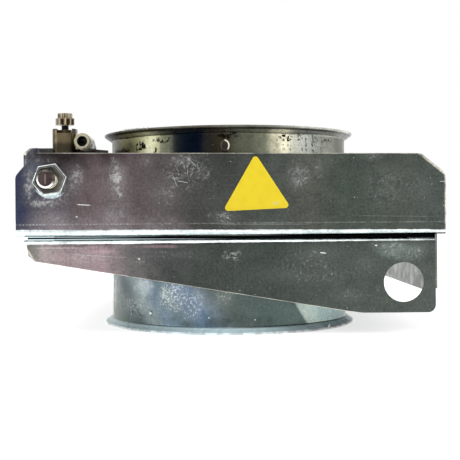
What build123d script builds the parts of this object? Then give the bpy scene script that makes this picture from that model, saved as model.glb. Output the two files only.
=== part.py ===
from build123d import *
import os

# Pneumatic slide gate for a round extraction duct, in millimetres.
# The duct axis is Z and the lower collar's rim stands on Z = 0.
# X runs along the wide front, and the blade opens towards +Y, away from the front.

# Duct collars
duct_diameter = 150.0
collar_wall = 1.0
collar_foot = 1.8
lip_reach = 4.7
lip_rise = 3.2
lip_edge = 0.9
upper_rim = 63.7
lower_rim = 55.5

# Folded housing, heights and depths from the middle of the blade
sheet = 1.5
bend_inside = 1.5
front_gap = 5.0
upper_leg_top = 48.6
upper_leg_fall = 1.8
upper_corner_left = (11.5, 13.0)
upper_corner_right = (14.0, 11.3)
upper_corner_round = 5.0
lower_left_inset = 4.1
lower_right_inset = 6.1
lower_tip = ((0.0, 1.6), (2.0, 3.5), (3.0, 9.6), (6.3, 12.9))
lower_leg_right = 43.3
taper_end_inset = 55.5
taper_end_depth = 41.4
flat_length = 41.5
lower_corner_round = 4.5
side_leg_depth = 32.5
corner_relief = 4.5
mounting_hole_diameter = 22.6
mounting_hole_inset = 18.0
mounting_hole_depth = 26.1

# Guide strips, side strip and rivets
guide_width = 15.3
guide_setback = 3.5
side_strip_wall = 1.2
side_strip_depth = 29.9
side_strip_setback = 1.0
rivet_diameter = 4.0
rivet_head_diameter = 8.0
rivet_head = 1.2
rivet_tail_diameter = 6.4
rivet_tail = 1.6
rivet_head_taper = 35
rivet_tail_taper = 20
rivet_play = 0.05
guide_rivet_first = 18.0
guide_rivet_last = 12.0
guide_rivet_count = 4
side_rivet_count = 4
side_rivet_depth = 14.0

# Blade
blade_thickness = 1.5
blade_slack = 0.6
blade_play = 0.4
blade_setback = 2.7
overtravel = 5.0
tail_gap = 0.8
tail_length = 9.0
tail_flange = 12.0
lug_width = 36.0
lug_height = 48.0
lug_slope = 16.0

# Cylinder
collar_clearance = 12.0
cylinder_inset = 20.2
cylinder_height = 33.0
bore = 25.0
barrel_wall = 0.8
cover_diameter = 29.0
cover_chamfer = 2.0
cap_cover_setback = 30.0
cap_cover_length = 30.5
socket_depth = 4.0
cap_spigot = 10.0
socket_play = 0.05
piston_length = 12.0
piston_play = 0.3
seal_width = 2.4
seal_depth = 1.8
seal_play = 0.05
seal_setback = 2.4
bumper_thickness = 1.6
bumper_gap = 0.4
rod_diameter = 10.0
rod_neck_diameter = 8.0
rod_cover_length = 22.0
rod_spigot = 5.0
nose_diameter = 22.0
nose_length = 3.0
bush_wall = 1.5
bush_length = 16.0
wiper_wall = 2.5
wiper_length = 3.0
rod_play = 0.03
rod_end = 11.0
rod_showing = 9.8
stud_diameter = 10.0
stud_end = 18.0
stud_chamfer = 1.0
stud_nut_width = 17.0
stud_nut_height = 6.0
stud_nut_turn = 9.0
rod_nut_width = 17.0
rod_nut_height = 5.0
nut_chamfer_length = 0.5
nut_chamfer_depth = 0.4
thread_play = 0.05
air_hole_diameter = 5.0
cap_air_way_diameter = 4.0
rod_air_way_diameter = 3.0
rod_air_way_radius = 9.6
bumper_width = 2.2
bumper_inside = 5.5

# Cylinder bracket
bracket_top = 55.5
bracket_low_end = 53.8
bracket_flat = 7.9
bracket_front = 23.4
bracket_bend = 2.5
bracket_slope = ((0.0, 5.7), (19.4, 1.2), (34.0, 0.0))
bracket_end_gap = 1.2
barrel_gap = 0.3
foot_length = 15.0
foot_width = 14.0

# Flow regulator, heights from its seat on the cylinder cover
cap_port_setback = 51.5
rod_port_setback = 13.0
seat_depth = 1.0
seat_diameter = 16.0
port_thread_diameter = 9.7
port_thread_length = 6.0
port_bolt_width = 13.0
port_bolt_height = 4.2
swivel_stub_diameter = 8.0
swivel_stub_height = 5.0
swivel_play = 0.05
swivel_gap = 0.3
block_width = 14.6
block_round = 4.5
block_top = 19.8
block_slot_width = 9.2
block_slot_depth = 2.6
block_slot_offset = 0.5
gland_width = 7.8
gland_height = 2.2
stem_diameter = 4.4
stem_foot = 11.0
lock_nut_width = 10.1
lock_nut_bottom = 22.5
lock_nut_height = 4.2
knob_diameter = 9.1
knob_height = 3.0
knob_flutes = 18
flute_radius = 0.45
elbow_axis_x = 12.7
elbow_axis_height = 11.3
elbow_diameter = 10.2
elbow_front = 14.0
elbow_back = 5.5
elbow_low = 7.4
elbow_right = 18.6
elbow_shoulder = 9.0
elbow_round = 0.6
tube_bore = 6.1
tube_depth = 12.0
elbow_passage = 4.4
collet_diameter = 7.8
collet_head_diameter = 8.8
collet_head = 1.0
collet_travel = 1.0
collet_sleeve = 5.0
collet_play = 0.1
tube_seal_length = 2.0
tube_seal_gap = 0.3

# Levels and planes that several pieces share
blade_level = lower_rim
slot_height = blade_thickness + blade_slack
web_inner = slot_height / 2
web_outer = web_inner + sheet
bend_outside = bend_inside + sheet
blade_bend = bend_inside + blade_thickness
collar_radius = duct_diameter / 2
duct_radius = collar_radius - collar_wall
foot_radius = collar_radius + collar_foot
cylinder_x = -(collar_radius + collar_clearance + cover_diameter / 2)
housing_half = cylinder_inset - cylinder_x
lower_left = housing_half - lower_left_inset
lower_right = housing_half - lower_right_inset
housing_front = -collar_radius - front_gap
leg_inner = housing_front + sheet
stroke = duct_diameter + overtravel
front_view = Plane(origin=(0, 0, blade_level), x_dir=(1, 0, 0), z_dir=(0, -1, 0))
side_view = Plane(origin=(0, 0, blade_level), x_dir=(0, 1, 0), z_dir=(1, 0, 0))

cylinder_radius = bore / 2 + barrel_wall
cylinder_axis = Axis((cylinder_x, 0, blade_level + cylinder_height), (0, 1, 0))
cylinder_view = Plane(
    origin=(cylinder_x, 0, blade_level + cylinder_height), x_dir=(0, 1, 0), z_dir=(1, 0, 0)
)
cap_cover_front = housing_front + cap_cover_setback
cap_cover_rear = cap_cover_front + cap_cover_length
barrel_front = cap_cover_rear - socket_depth
cap_inner_face = barrel_front + cap_spigot
piston_front = cap_inner_face + bumper_thickness + bumper_gap
piston_rear = piston_front + piston_length
rod_inner_face = piston_rear + stroke + bumper_gap + bumper_thickness
barrel_rear = rod_inner_face + rod_spigot
rod_cover_front = barrel_rear - socket_depth
rod_cover_rear = rod_cover_front + rod_cover_length
nose_end = rod_cover_rear + nose_length
bracket_plate = cap_cover_rear + barrel_gap
lug_front = nose_end + rod_showing + rod_nut_height
tail_rear = lug_front + blade_thickness
rod_tip = tail_rear + rod_end
housing_rear = tail_rear - tail_length - tail_gap
housing_length = housing_rear - housing_front

guide_outer = lower_right
guide_middle = guide_outer - guide_width / 2
blade_half = guide_outer - guide_width - blade_play

exported = []


def keep(piece, name):
    piece.label = name
    export_step(piece, f"parts/{name}.step")
    exported.append(name)


os.makedirs("parts", exist_ok=True)


# Section of a housing half: web along the slot and a leg folded away from it at the front
def folded_section(side, leg_end):
    with BuildSketch(side_view) as section:
        with BuildLine():
            Polyline(
                (housing_front, side * leg_end),
                (housing_front, side * web_inner),
                (housing_rear, side * web_inner),
                (housing_rear, side * web_outer),
                (leg_inner, side * web_outer),
                (leg_inner, side * leg_end),
                close=True,
            )
        make_face()
        outer_corner = section.vertices().sort_by_distance((housing_front, side * web_inner))[0]
        fillet(outer_corner, bend_outside)
        inner_corner = section.vertices().sort_by_distance((leg_inner, side * web_outer))[0]
        fillet(inner_corner, bend_inside)
    return section.sketch


# Rivet rows, as (x, y) places over the guide strips
guide_rivet_pitch = (housing_length - guide_rivet_first - guide_rivet_last) / (guide_rivet_count - 1)
guide_rivet_ys = [
    housing_front + guide_rivet_first + index * guide_rivet_pitch for index in range(guide_rivet_count)
]
guide_rivet_places = [(x, y) for x in (-guide_middle, guide_middle) for y in guide_rivet_ys]
bracket_side_y = housing_front + bracket_front + foot_length
bracket_rivet_places = [
    (-guide_middle, bracket_plate + sheet + foot_width / 2),
    (-guide_middle - guide_width / 5, bracket_side_y),
]
side_rivet_ys = [
    housing_front + housing_length * (index + 0.5) / side_rivet_count for index in range(side_rivet_count)
]
rivet_hole = rivet_diameter / 2 + rivet_play


# Upper housing half with its tall front leg
left_cut, left_drop = upper_corner_left
right_cut, right_drop = upper_corner_right
upper_leg_low_end = upper_leg_top - upper_leg_fall
with BuildPart() as upper_housing:
    extrude(folded_section(1, upper_leg_top), amount=housing_half, both=True)
    with BuildSketch(front_view) as upper_outline:
        with BuildLine():
            Polyline(
                (-housing_half, 0),
                (housing_half, 0),
                (housing_half, upper_leg_low_end - right_drop),
                (housing_half - right_cut, upper_leg_low_end),
                (-housing_half + left_cut, upper_leg_top),
                (-housing_half, upper_leg_top - left_drop),
                close=True,
            )
        make_face()
        corners = upper_outline.vertices().filter_by_position(Axis.Y, web_outer, upper_leg_top)
        fillet(corners, upper_corner_round)
    extrude(amount=2 * housing_length, both=True, mode=Mode.INTERSECT)
    with BuildSketch(Plane.XY.offset(blade_level)):
        Circle(duct_radius)
        with Locations(*guide_rivet_places, *bracket_rivet_places):
            Circle(rivet_hole)
    extrude(amount=web_outer + sheet, mode=Mode.SUBTRACT)
    with BuildSketch(front_view.offset(-housing_front)):
        with Locations((cylinder_x, cylinder_height)):
            Circle(stud_diameter / 2 + thread_play)
    extrude(amount=-2 * sheet, mode=Mode.SUBTRACT)
keep(upper_housing.part, "upper_housing")


# Lower housing half: front leg that tapers to the left, and a side leg along the right
with BuildPart() as lower_housing:
    with Locations((-lower_left, 0, 0)):
        add(extrude(folded_section(-1, lower_leg_right), amount=lower_left + lower_right, mode=Mode.PRIVATE))
    with BuildSketch(Plane.XY.offset(blade_level)):
        with Locations((lower_right, housing_front + corner_relief)):
            Rectangle(2 * bend_outside, housing_length, align=(Align.CENTER, Align.MIN))
    extrude(amount=-2 * web_outer, mode=Mode.SUBTRACT)
    with BuildSketch(front_view.offset(-housing_rear)) as side_section:
        with BuildLine():
            Polyline(
                (lower_right - 2 * bend_outside, -web_inner),
                (lower_right, -web_inner),
                (lower_right, -side_leg_depth),
                (lower_right - sheet, -side_leg_depth),
                (lower_right - sheet, -web_outer),
                (lower_right - 2 * bend_outside, -web_outer),
                close=True,
            )
        make_face()
        fillet(side_section.vertices().sort_by_distance((lower_right, -web_inner))[0], bend_outside)
        fillet(side_section.vertices().sort_by_distance((lower_right - sheet, -web_outer))[0], bend_inside)
    extrude(amount=housing_length - corner_relief)
    with BuildSketch(front_view) as lower_outline:
        with BuildLine():
            Polyline(
                (-lower_left, 0),
                *[(inset - lower_left, -depth) for inset, depth in lower_tip],
                (lower_right - taper_end_inset, -taper_end_depth),
                (lower_right - flat_length, -lower_leg_right),
                (lower_right, -lower_leg_right),
                (lower_right, 0),
                close=True,
            )
        make_face()
        corner = lower_outline.vertices().sort_by_distance((lower_right, -lower_leg_right))[0]
        fillet(corner, lower_corner_round)
    extrude(amount=2 * housing_length, both=True, mode=Mode.INTERSECT)
    with BuildSketch(Plane.XY.offset(blade_level)):
        Circle(duct_radius)
        with Locations(*guide_rivet_places, *bracket_rivet_places):
            Circle(rivet_hole)
    extrude(amount=-web_outer - sheet, mode=Mode.SUBTRACT)
    with BuildSketch(front_view.offset(-housing_front)):
        with Locations((lower_right - mounting_hole_inset, -mounting_hole_depth)):
            Circle(mounting_hole_diameter / 2)
    extrude(amount=-2 * sheet, mode=Mode.SUBTRACT)
    with BuildSketch(side_view.offset(lower_right)):
        with Locations(*[(y, -side_rivet_depth) for y in side_rivet_ys]):
            Circle(rivet_hole)
    extrude(amount=-2 * sheet, mode=Mode.SUBTRACT)
keep(lower_housing.part, "lower_housing")


# Collar turned out at its foot against the web and flared into a lip at its rim
def collar(side, rim):
    with BuildPart() as ring:
        with BuildSketch(front_view) as section:
            with BuildLine():
                Polyline(
                    (duct_radius, side * web_outer),
                    (foot_radius, side * web_outer),
                    (foot_radius, side * (web_outer + collar_wall)),
                    (collar_radius, side * (web_outer + collar_wall)),
                    (collar_radius, side * (rim - lip_rise - lip_edge)),
                    (collar_radius + lip_reach, side * (rim - lip_edge)),
                    (collar_radius + lip_reach, side * rim),
                    (collar_radius + lip_reach - lip_edge, side * rim),
                    (duct_radius, side * (rim - lip_rise)),
                    close=True,
                )
            make_face()
            bend = section.vertices().sort_by_distance((collar_radius, side * (rim - lip_rise - lip_edge)))[0]
            fillet(bend, collar_wall)
            bend = section.vertices().sort_by_distance((duct_radius, side * (rim - lip_rise)))[0]
            fillet(bend, 2 * collar_wall)
        revolve(axis=Axis.Z)
    return ring


keep(collar(1, upper_rim).part, "upper_collar")
keep(collar(-1, lower_rim).part, "lower_collar")


# Guide strips that space the two webs and carry the blade's edges
def guide_strip(middle_x, rivets):
    with BuildPart() as strip:
        with BuildSketch(Plane.XY.offset(blade_level - web_inner)):
            with Locations((middle_x, housing_front + guide_setback)):
                Rectangle(guide_width, housing_length - guide_setback, align=(Align.CENTER, Align.MIN))
            with Locations(*rivets):
                Circle(rivet_hole, mode=Mode.SUBTRACT)
        extrude(amount=slot_height)
    return strip


left_rivets = [place for place in guide_rivet_places if place[0] < 0] + bracket_rivet_places
right_rivets = [place for place in guide_rivet_places if place[0] > 0]
keep(guide_strip(-guide_middle, left_rivets).part, "left_guide_strip")
keep(guide_strip(guide_middle, right_rivets).part, "right_guide_strip")


# Flat strip that closes the right side of the slot, riveted to the side leg
with BuildPart() as side_strip:
    with BuildSketch(side_view.offset(lower_right)):
        with BuildLine():
            Polyline(
                (housing_front + side_strip_setback, web_inner),
                (housing_rear, web_inner),
                (housing_rear, -side_strip_depth),
                (housing_front + side_strip_setback, -side_strip_depth),
                close=True,
            )
        make_face()
        with Locations(*[(y, -side_rivet_depth) for y in side_rivet_ys]):
            Circle(rivet_hole, mode=Mode.SUBTRACT)
    extrude(amount=side_strip_wall)
keep(side_strip.part, "side_strip")


# Rivets: a shank with a flat head at one end and a formed tail at the other
def rivets(place, spots, grip):
    with BuildPart(place) as group:
        with BuildSketch(place.offset(-grip)):
            with Locations(*spots):
                Circle(rivet_diameter / 2)
        extrude(amount=grip)
        with BuildSketch(place):
            with Locations(*spots):
                Circle(rivet_head_diameter / 2)
        extrude(amount=rivet_head, taper=rivet_head_taper)
        with BuildSketch(place.offset(-grip)):
            with Locations(*spots):
                Circle(rivet_tail_diameter / 2)
        extrude(amount=-rivet_tail, taper=rivet_tail_taper)
    return group


web_top = Plane.XY.offset(blade_level + web_outer)
foot_top = Plane.XY.offset(blade_level + web_outer + sheet)
strip_face = side_view.offset(lower_right + side_strip_wall)
keep(rivets(web_top, guide_rivet_places, 2 * web_outer).part, "guide_rivets")
keep(rivets(foot_top, bracket_rivet_places, 2 * web_outer + sheet).part, "bracket_rivets")
side_spots = [(y, -side_rivet_depth) for y in side_rivet_ys]
keep(rivets(strip_face, side_spots, side_strip_wall + sheet).part, "side_strip_rivets")


# Blade with a tail flange that rises into the lug behind the cylinder
lug_left = cylinder_x - lug_width / 2
lug_right = cylinder_x + lug_width / 2
with BuildPart() as slide_blade:
    with BuildSketch(Plane.XY.offset(blade_level - blade_thickness / 2)):
        with BuildLine():
            Polyline(
                (-blade_half, housing_front + blade_setback),
                (blade_half, housing_front + blade_setback),
                (blade_half, tail_rear - blade_bend),
                (-blade_half, tail_rear - blade_bend),
                close=True,
            )
        make_face()
    extrude(amount=blade_thickness)
    with BuildSketch(side_view.offset(lug_left)) as tail_section:
        with BuildLine():
            Polyline(
                (housing_rear + tail_gap, -blade_thickness / 2),
                (tail_rear, -blade_thickness / 2),
                (tail_rear, lug_height),
                (lug_front, lug_height),
                (lug_front, blade_thickness / 2),
                (housing_rear + tail_gap, blade_thickness / 2),
                close=True,
            )
        make_face()
        fillet(tail_section.vertices().sort_by_distance((tail_rear, -blade_thickness / 2))[0], blade_bend)
        fillet(tail_section.vertices().sort_by_distance((lug_front, blade_thickness / 2))[0], bend_inside)
    extrude(amount=blade_half - lug_left)
    with BuildSketch(front_view.offset(-tail_rear - blade_thickness)):
        with BuildLine():
            Polyline(
                (lug_right, lug_height + blade_thickness),
                (lug_right, tail_flange + lug_slope),
                (lug_right + lug_slope, tail_flange),
                (blade_half + blade_thickness, tail_flange),
                (blade_half + blade_thickness, lug_height + blade_thickness),
                close=True,
            )
        make_face()
    extrude(amount=4 * blade_thickness, mode=Mode.SUBTRACT)
    with BuildSketch(front_view.offset(-tail_rear - blade_thickness)):
        with Locations((cylinder_x, cylinder_height)):
            Circle(rod_diameter / 2 + thread_play)
    extrude(amount=4 * blade_thickness, mode=Mode.SUBTRACT)
    top_corners = slide_blade.edges().filter_by(Axis.Y).group_by(Axis.Z)[-1]
    fillet(top_corners, upper_corner_round)
keep(slide_blade.part, "slide_blade")


# Bracket folded round the corner behind the cap cover, its plate carrying the barrel
side_face = -housing_half
plate_end = -((foot_radius + bracket_end_gap) ** 2 - (bracket_plate + sheet) ** 2) ** 0.5
side_front = housing_front + bracket_front
with BuildPart() as cylinder_bracket:
    with BuildSketch(web_top) as bracket_plan:
        with BuildLine():
            Polyline(
                (side_face, side_front),
                (side_face, bracket_plate + sheet),
                (plate_end, bracket_plate + sheet),
                (plate_end, bracket_plate),
                (side_face + sheet, bracket_plate),
                (side_face + sheet, side_front),
                close=True,
            )
        make_face()
        outer_corner = bracket_plan.vertices().sort_by_distance((side_face, bracket_plate + sheet))[0]
        fillet(outer_corner, bracket_bend + sheet)
        inner_corner = bracket_plan.vertices().sort_by_distance((side_face + sheet, bracket_plate))[0]
        fillet(inner_corner, bracket_bend)
    extrude(amount=bracket_top - web_outer)
    with BuildSketch(side_view.offset(side_face)):
        with BuildLine():
            Polyline(
                (side_front, bracket_top + sheet),
                *[(side_front + length, bracket_top - drop) for length, drop in bracket_slope],
                close=True,
            )
        make_face()
    extrude(amount=2 * sheet, mode=Mode.SUBTRACT)
    with BuildSketch(front_view.offset(-bracket_plate)):
        with Locations((cylinder_x, cylinder_height)):
            Circle(cylinder_radius + barrel_gap)
        with BuildLine():
            Polyline(
                (cylinder_x + bracket_flat, bracket_top),
                (plate_end, bracket_low_end),
                (plate_end, bracket_top),
                close=True,
            )
        make_face()
    extrude(amount=-2 * sheet, mode=Mode.SUBTRACT)
    with BuildSketch(web_top):
        with Locations((-guide_middle, bracket_plate)):
            Rectangle(foot_width, sheet + foot_width, align=(Align.CENTER, Align.MIN))
        with Locations((side_face, bracket_side_y)):
            Rectangle(
                housing_half - guide_middle + foot_width / 4, foot_width, align=(Align.MIN, Align.CENTER)
            )
        with Locations(*bracket_rivet_places):
            Circle(rivet_hole, mode=Mode.SUBTRACT)
    extrude(amount=sheet)
keep(cylinder_bracket.part, "cylinder_bracket")


# Places of the two flow regulators: the cap port points up and the rod port points inboard
cap_port_y = housing_front + cap_port_setback
rod_port_y = rod_cover_front + rod_port_setback
seat_radius = cover_diameter / 2 - seat_depth
axis_level = blade_level + cylinder_height
cap_seat = Plane(
    origin=(cylinder_x, cap_port_y, axis_level + seat_radius), x_dir=(1, 0, 0), z_dir=(0, 0, 1)
)
rod_seat = Plane(
    origin=(cylinder_x + seat_radius, rod_port_y, axis_level), x_dir=(0, 0, 1), z_dir=(1, 0, 0)
)


# What a regulator's port takes out of a cover: flat seat, threaded hole and air hole
def port_space(seat, air_depth):
    with BuildPart() as space:
        with BuildSketch(seat):
            Circle(seat_diameter / 2)
        extrude(amount=2 * seat_depth)
        with BuildSketch(seat):
            Circle(port_thread_diameter / 2 + thread_play)
        extrude(amount=-port_thread_length - thread_play)
        with BuildSketch(seat):
            Circle(air_hole_diameter / 2)
        extrude(amount=-air_depth)
    return space.part


# Cap end cover, turned in one piece with the stud that holds it in the front leg
socket_radius = cylinder_radius + socket_play
spigot_radius = bore / 2 - socket_play
stud_front = housing_front - stud_end
with BuildPart() as cap_end_cover:
    with BuildSketch(cylinder_view):
        with BuildLine():
            Polyline(
                (stud_front, 0),
                (stud_front, stud_diameter / 2 - stud_chamfer),
                (stud_front + stud_chamfer, stud_diameter / 2),
                (cap_cover_front, stud_diameter / 2),
                (cap_cover_front, cover_diameter / 2 - cover_chamfer),
                (cap_cover_front + cover_chamfer, cover_diameter / 2),
                (cap_cover_rear, cover_diameter / 2),
                (cap_cover_rear, socket_radius),
                (barrel_front, socket_radius),
                (barrel_front, spigot_radius),
                (cap_inner_face, spigot_radius),
                (cap_inner_face, 0),
                close=True,
            )
        make_face()
    revolve(axis=cylinder_axis)
    add(port_space(cap_seat, seat_radius), mode=Mode.SUBTRACT)
    with BuildSketch(front_view.offset(-cap_inner_face)):
        with Locations((cylinder_x, cylinder_height)):
            Circle(cap_air_way_diameter / 2)
    extrude(amount=cap_inner_face - cap_port_y, mode=Mode.SUBTRACT)
keep(cap_end_cover.part, "cap_end_cover")


# Rod end cover with the bush's bore, the wiper's seat and the nose
bush_radius = rod_diameter / 2 + rod_play + bush_wall
wiper_radius = rod_diameter / 2 + rod_play + wiper_wall
with BuildPart() as rod_end_cover:
    with BuildSketch(cylinder_view):
        with BuildLine():
            Polyline(
                (rod_inner_face, bush_radius),
                (rod_inner_face, spigot_radius),
                (barrel_rear, spigot_radius),
                (barrel_rear, socket_radius),
                (rod_cover_front, socket_radius),
                (rod_cover_front, cover_diameter / 2),
                (rod_cover_rear - cover_chamfer, cover_diameter / 2),
                (rod_cover_rear, cover_diameter / 2 - cover_chamfer),
                (rod_cover_rear, nose_diameter / 2),
                (nose_end, nose_diameter / 2),
                (nose_end, wiper_radius),
                (nose_end - wiper_length, wiper_radius),
                (nose_end - wiper_length, bush_radius),
                close=True,
            )
        make_face()
    revolve(axis=cylinder_axis)
    add(port_space(rod_seat, seat_radius - rod_air_way_radius), mode=Mode.SUBTRACT)
    with BuildSketch(front_view.offset(-rod_inner_face)):
        with Locations((cylinder_x + rod_air_way_radius, cylinder_height)):
            Circle(rod_air_way_diameter / 2)
    extrude(amount=rod_inner_face - rod_port_y, mode=Mode.SUBTRACT)
keep(rod_end_cover.part, "rod_end_cover")


# A plain ring round the cylinder axis
def ring(start, end, inside, outside):
    with BuildPart() as piece:
        with BuildSketch(cylinder_view):
            with BuildLine():
                Polyline((start, inside), (end, inside), (end, outside), (start, outside), close=True)
            make_face()
        revolve(axis=cylinder_axis)
    return piece


rod_radius = rod_diameter / 2
barrel = ring(barrel_front, barrel_rear, bore / 2, cylinder_radius)
keep(barrel.part, "cylinder_barrel")
bush_end = nose_end - wiper_length
rod_bush = ring(bush_end - bush_length, bush_end, rod_radius + rod_play, bush_radius)
keep(rod_bush.part, "rod_bush")
rod_wiper = ring(bush_end, nose_end, rod_radius + rod_play, wiper_radius)
keep(rod_wiper.part, "rod_wiper")

bumper_outside = bumper_inside + bumper_width
with BuildPart() as bumpers:
    for start in (cap_inner_face, rod_inner_face - bumper_thickness):
        add(ring(start, start + bumper_thickness, bumper_inside, bumper_outside).part)
keep(bumpers.part, "bumpers")


# Piston with two seal grooves, seals, and the rod riveted through it
groove_radius = bore / 2 - seal_depth
first_seal = piston_front + seal_setback
second_seal = piston_rear - seal_setback - seal_width
with BuildPart() as piston:
    with BuildSketch(cylinder_view):
        with BuildLine():
            Polyline(
                (piston_front, rod_neck_diameter / 2),
                (piston_rear, rod_neck_diameter / 2),
                (piston_rear, bore / 2 - piston_play),
                (second_seal + seal_width, bore / 2 - piston_play),
                (second_seal + seal_width, groove_radius),
                (second_seal, groove_radius),
                (second_seal, bore / 2 - piston_play),
                (first_seal + seal_width, bore / 2 - piston_play),
                (first_seal + seal_width, groove_radius),
                (first_seal, groove_radius),
                (first_seal, bore / 2 - piston_play),
                (piston_front, bore / 2 - piston_play),
                close=True,
            )
        make_face()
    revolve(axis=cylinder_axis)
keep(piston.part, "piston")

with BuildPart() as piston_seals:
    for start in (first_seal, second_seal):
        add(ring(start, start + seal_width, groove_radius, bore / 2 - seal_play).part)
keep(piston_seals.part, "piston_seals")

with BuildPart() as piston_rod:
    with BuildSketch(cylinder_view):
        with BuildLine():
            Polyline(
                (piston_front, 0),
                (piston_front, rod_neck_diameter / 2),
                (piston_rear, rod_neck_diameter / 2),
                (piston_rear, rod_radius),
                (rod_tip - stud_chamfer, rod_radius),
                (rod_tip, rod_radius - stud_chamfer),
                (rod_tip, 0),
                close=True,
            )
        make_face()
    revolve(axis=cylinder_axis)
keep(piston_rod.part, "piston_rod")


# Hexagon nuts, chamfered on both faces where their corners are turned round
def hex_nut(starts, width, height, thread, turn):
    corner = width / 3**0.5
    with BuildPart() as nut:
        for start in starts:
            with BuildSketch(front_view.offset(-start)):
                with Locations((cylinder_x, cylinder_height)):
                    RegularPolygon(corner, 6, rotation=turn)
                    Circle(thread / 2 + thread_play, mode=Mode.SUBTRACT)
            extrude(amount=-height)
        with BuildSketch(cylinder_view) as corners:
            for start in starts:
                with BuildLine():
                    Polyline(
                        (start, width / 2 - nut_chamfer_depth),
                        (start + nut_chamfer_length, corner),
                        (start + height - nut_chamfer_length, corner),
                        (start + height, width / 2 - nut_chamfer_depth),
                        (start + height, 0),
                        (start, 0),
                        close=True,
                    )
                make_face()
        revolve(corners.sketch, axis=cylinder_axis, mode=Mode.INTERSECT)
    return nut


nut_front = housing_front - stud_nut_height
stud_nut = hex_nut([nut_front], stud_nut_width, stud_nut_height, stud_diameter, stud_nut_turn)
keep(stud_nut.part, "stud_nut")
inner_nut = hex_nut([leg_inner], stud_nut_width, stud_nut_height, stud_diameter, 0)
keep(inner_nut.part, "stud_inner_nut")
rod_nuts = hex_nut([lug_front - rod_nut_height, tail_rear], rod_nut_width, rod_nut_height, rod_diameter, 0)
keep(rod_nuts.part, "rod_nuts")


# Flow regulator in its own frame: seat on Z = 0, elbow along +X, tube port towards -Y
port_view = Plane.XZ
with BuildPart() as port_bolt:
    with BuildSketch():
        RegularPolygon(port_bolt_width / 3**0.5, 6, rotation=30)
    extrude(amount=port_bolt_height)
    with BuildSketch(Plane.XY.offset(port_bolt_height)):
        Circle(swivel_stub_diameter / 2)
    extrude(amount=swivel_stub_height)
    with BuildSketch():
        Circle(port_thread_diameter / 2)
    extrude(amount=-port_thread_length)
    with BuildSketch(Plane.XY.offset(-port_thread_length)):
        Circle(air_hole_diameter / 2)
    extrude(amount=port_thread_length + port_bolt_height + swivel_stub_height, mode=Mode.SUBTRACT)

block_bottom = port_bolt_height + swivel_gap
slot_floor = block_top - block_slot_depth
with BuildPart() as regulator_body:
    with BuildSketch(Plane.XY.offset(block_bottom)):
        RectangleRounded(block_width, block_width, block_round)
    extrude(amount=block_top - block_bottom)
    with BuildSketch(Plane.XY.offset(slot_floor)):
        with Locations((block_slot_offset, 0)):
            Rectangle(block_slot_width, 2 * block_width)
    extrude(amount=block_slot_depth, mode=Mode.SUBTRACT)
    with BuildSketch(Plane.XY.offset(block_bottom)):
        Circle(swivel_stub_diameter / 2 + swivel_play)
    extrude(amount=swivel_stub_height, mode=Mode.SUBTRACT)
    with BuildSketch(Plane.XY.offset(block_bottom)):
        Circle(stem_diameter / 2 + rod_play)
    extrude(amount=block_top, mode=Mode.SUBTRACT)
    with BuildSketch(Plane.YZ.offset(block_width / 2)):
        with Locations((0, elbow_axis_height)):
            Circle(elbow_passage / 2)
    extrude(amount=-block_width / 2, mode=Mode.SUBTRACT)

with BuildPart() as gland_nut:
    with BuildSketch(Plane.XY.offset(slot_floor)):
        RegularPolygon(gland_width / 3**0.5, 6, rotation=30)
        Circle(stem_diameter / 2 + rod_play, mode=Mode.SUBTRACT)
    extrude(amount=gland_height)

knob_bottom = lock_nut_bottom + lock_nut_height
with BuildPart() as needle_screw:
    with BuildSketch(Plane.XY.offset(stem_foot)):
        Circle(stem_diameter / 2)
    extrude(amount=knob_bottom - stem_foot)
    with BuildSketch(Plane.XY.offset(knob_bottom)):
        Circle(knob_diameter / 2)
        with PolarLocations(knob_diameter / 2, knob_flutes):
            Circle(flute_radius, mode=Mode.SUBTRACT)
    extrude(amount=knob_height)

with BuildPart() as lock_nut:
    with BuildSketch(Plane.XY.offset(lock_nut_bottom)):
        RegularPolygon(lock_nut_width / 3**0.5, 6)
        Circle(stem_diameter / 2 + thread_play, mode=Mode.SUBTRACT)
    extrude(amount=lock_nut_height)

elbow_radius = elbow_diameter / 2
pocket_radius = collet_diameter / 2 + collet_play
pocket_depth = collet_sleeve + collet_travel + tube_seal_gap + tube_seal_length
with BuildPart() as port_elbow:
    with BuildSketch(port_view.offset(elbow_front)):
        with Locations((elbow_axis_x, elbow_axis_height)):
            Circle(elbow_radius)
    extrude(amount=-elbow_front - elbow_back)
    with BuildSketch(port_view.offset(elbow_radius)):
        with BuildLine():
            Polyline(
                (block_width / 2, elbow_low),
                (elbow_right, elbow_low),
                (elbow_right, elbow_shoulder),
                (elbow_axis_x + elbow_radius, elbow_axis_height),
                (elbow_axis_x, elbow_axis_height + elbow_radius),
                (block_width / 2, elbow_axis_height + elbow_radius),
                close=True,
            )
        make_face()
    extrude(amount=-elbow_radius - elbow_back)
    fillet(port_elbow.edges().filter_by(Axis.Y).group_by(Axis.X)[-1], elbow_round)
    with BuildSketch(port_view.offset(elbow_front)):
        with Locations((elbow_axis_x, elbow_axis_height)):
            Circle(pocket_radius)
    extrude(amount=-pocket_depth + collet_travel, mode=Mode.SUBTRACT)
    with BuildSketch(port_view.offset(elbow_front)):
        with Locations((elbow_axis_x, elbow_axis_height)):
            Circle(tube_bore / 2)
    extrude(amount=-tube_depth, mode=Mode.SUBTRACT)
    with BuildSketch(Plane.YZ.offset(block_width / 2)):
        with Locations((0, elbow_axis_height)):
            Circle(elbow_passage / 2)
    extrude(amount=elbow_axis_x - block_width / 2, mode=Mode.SUBTRACT)

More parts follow.
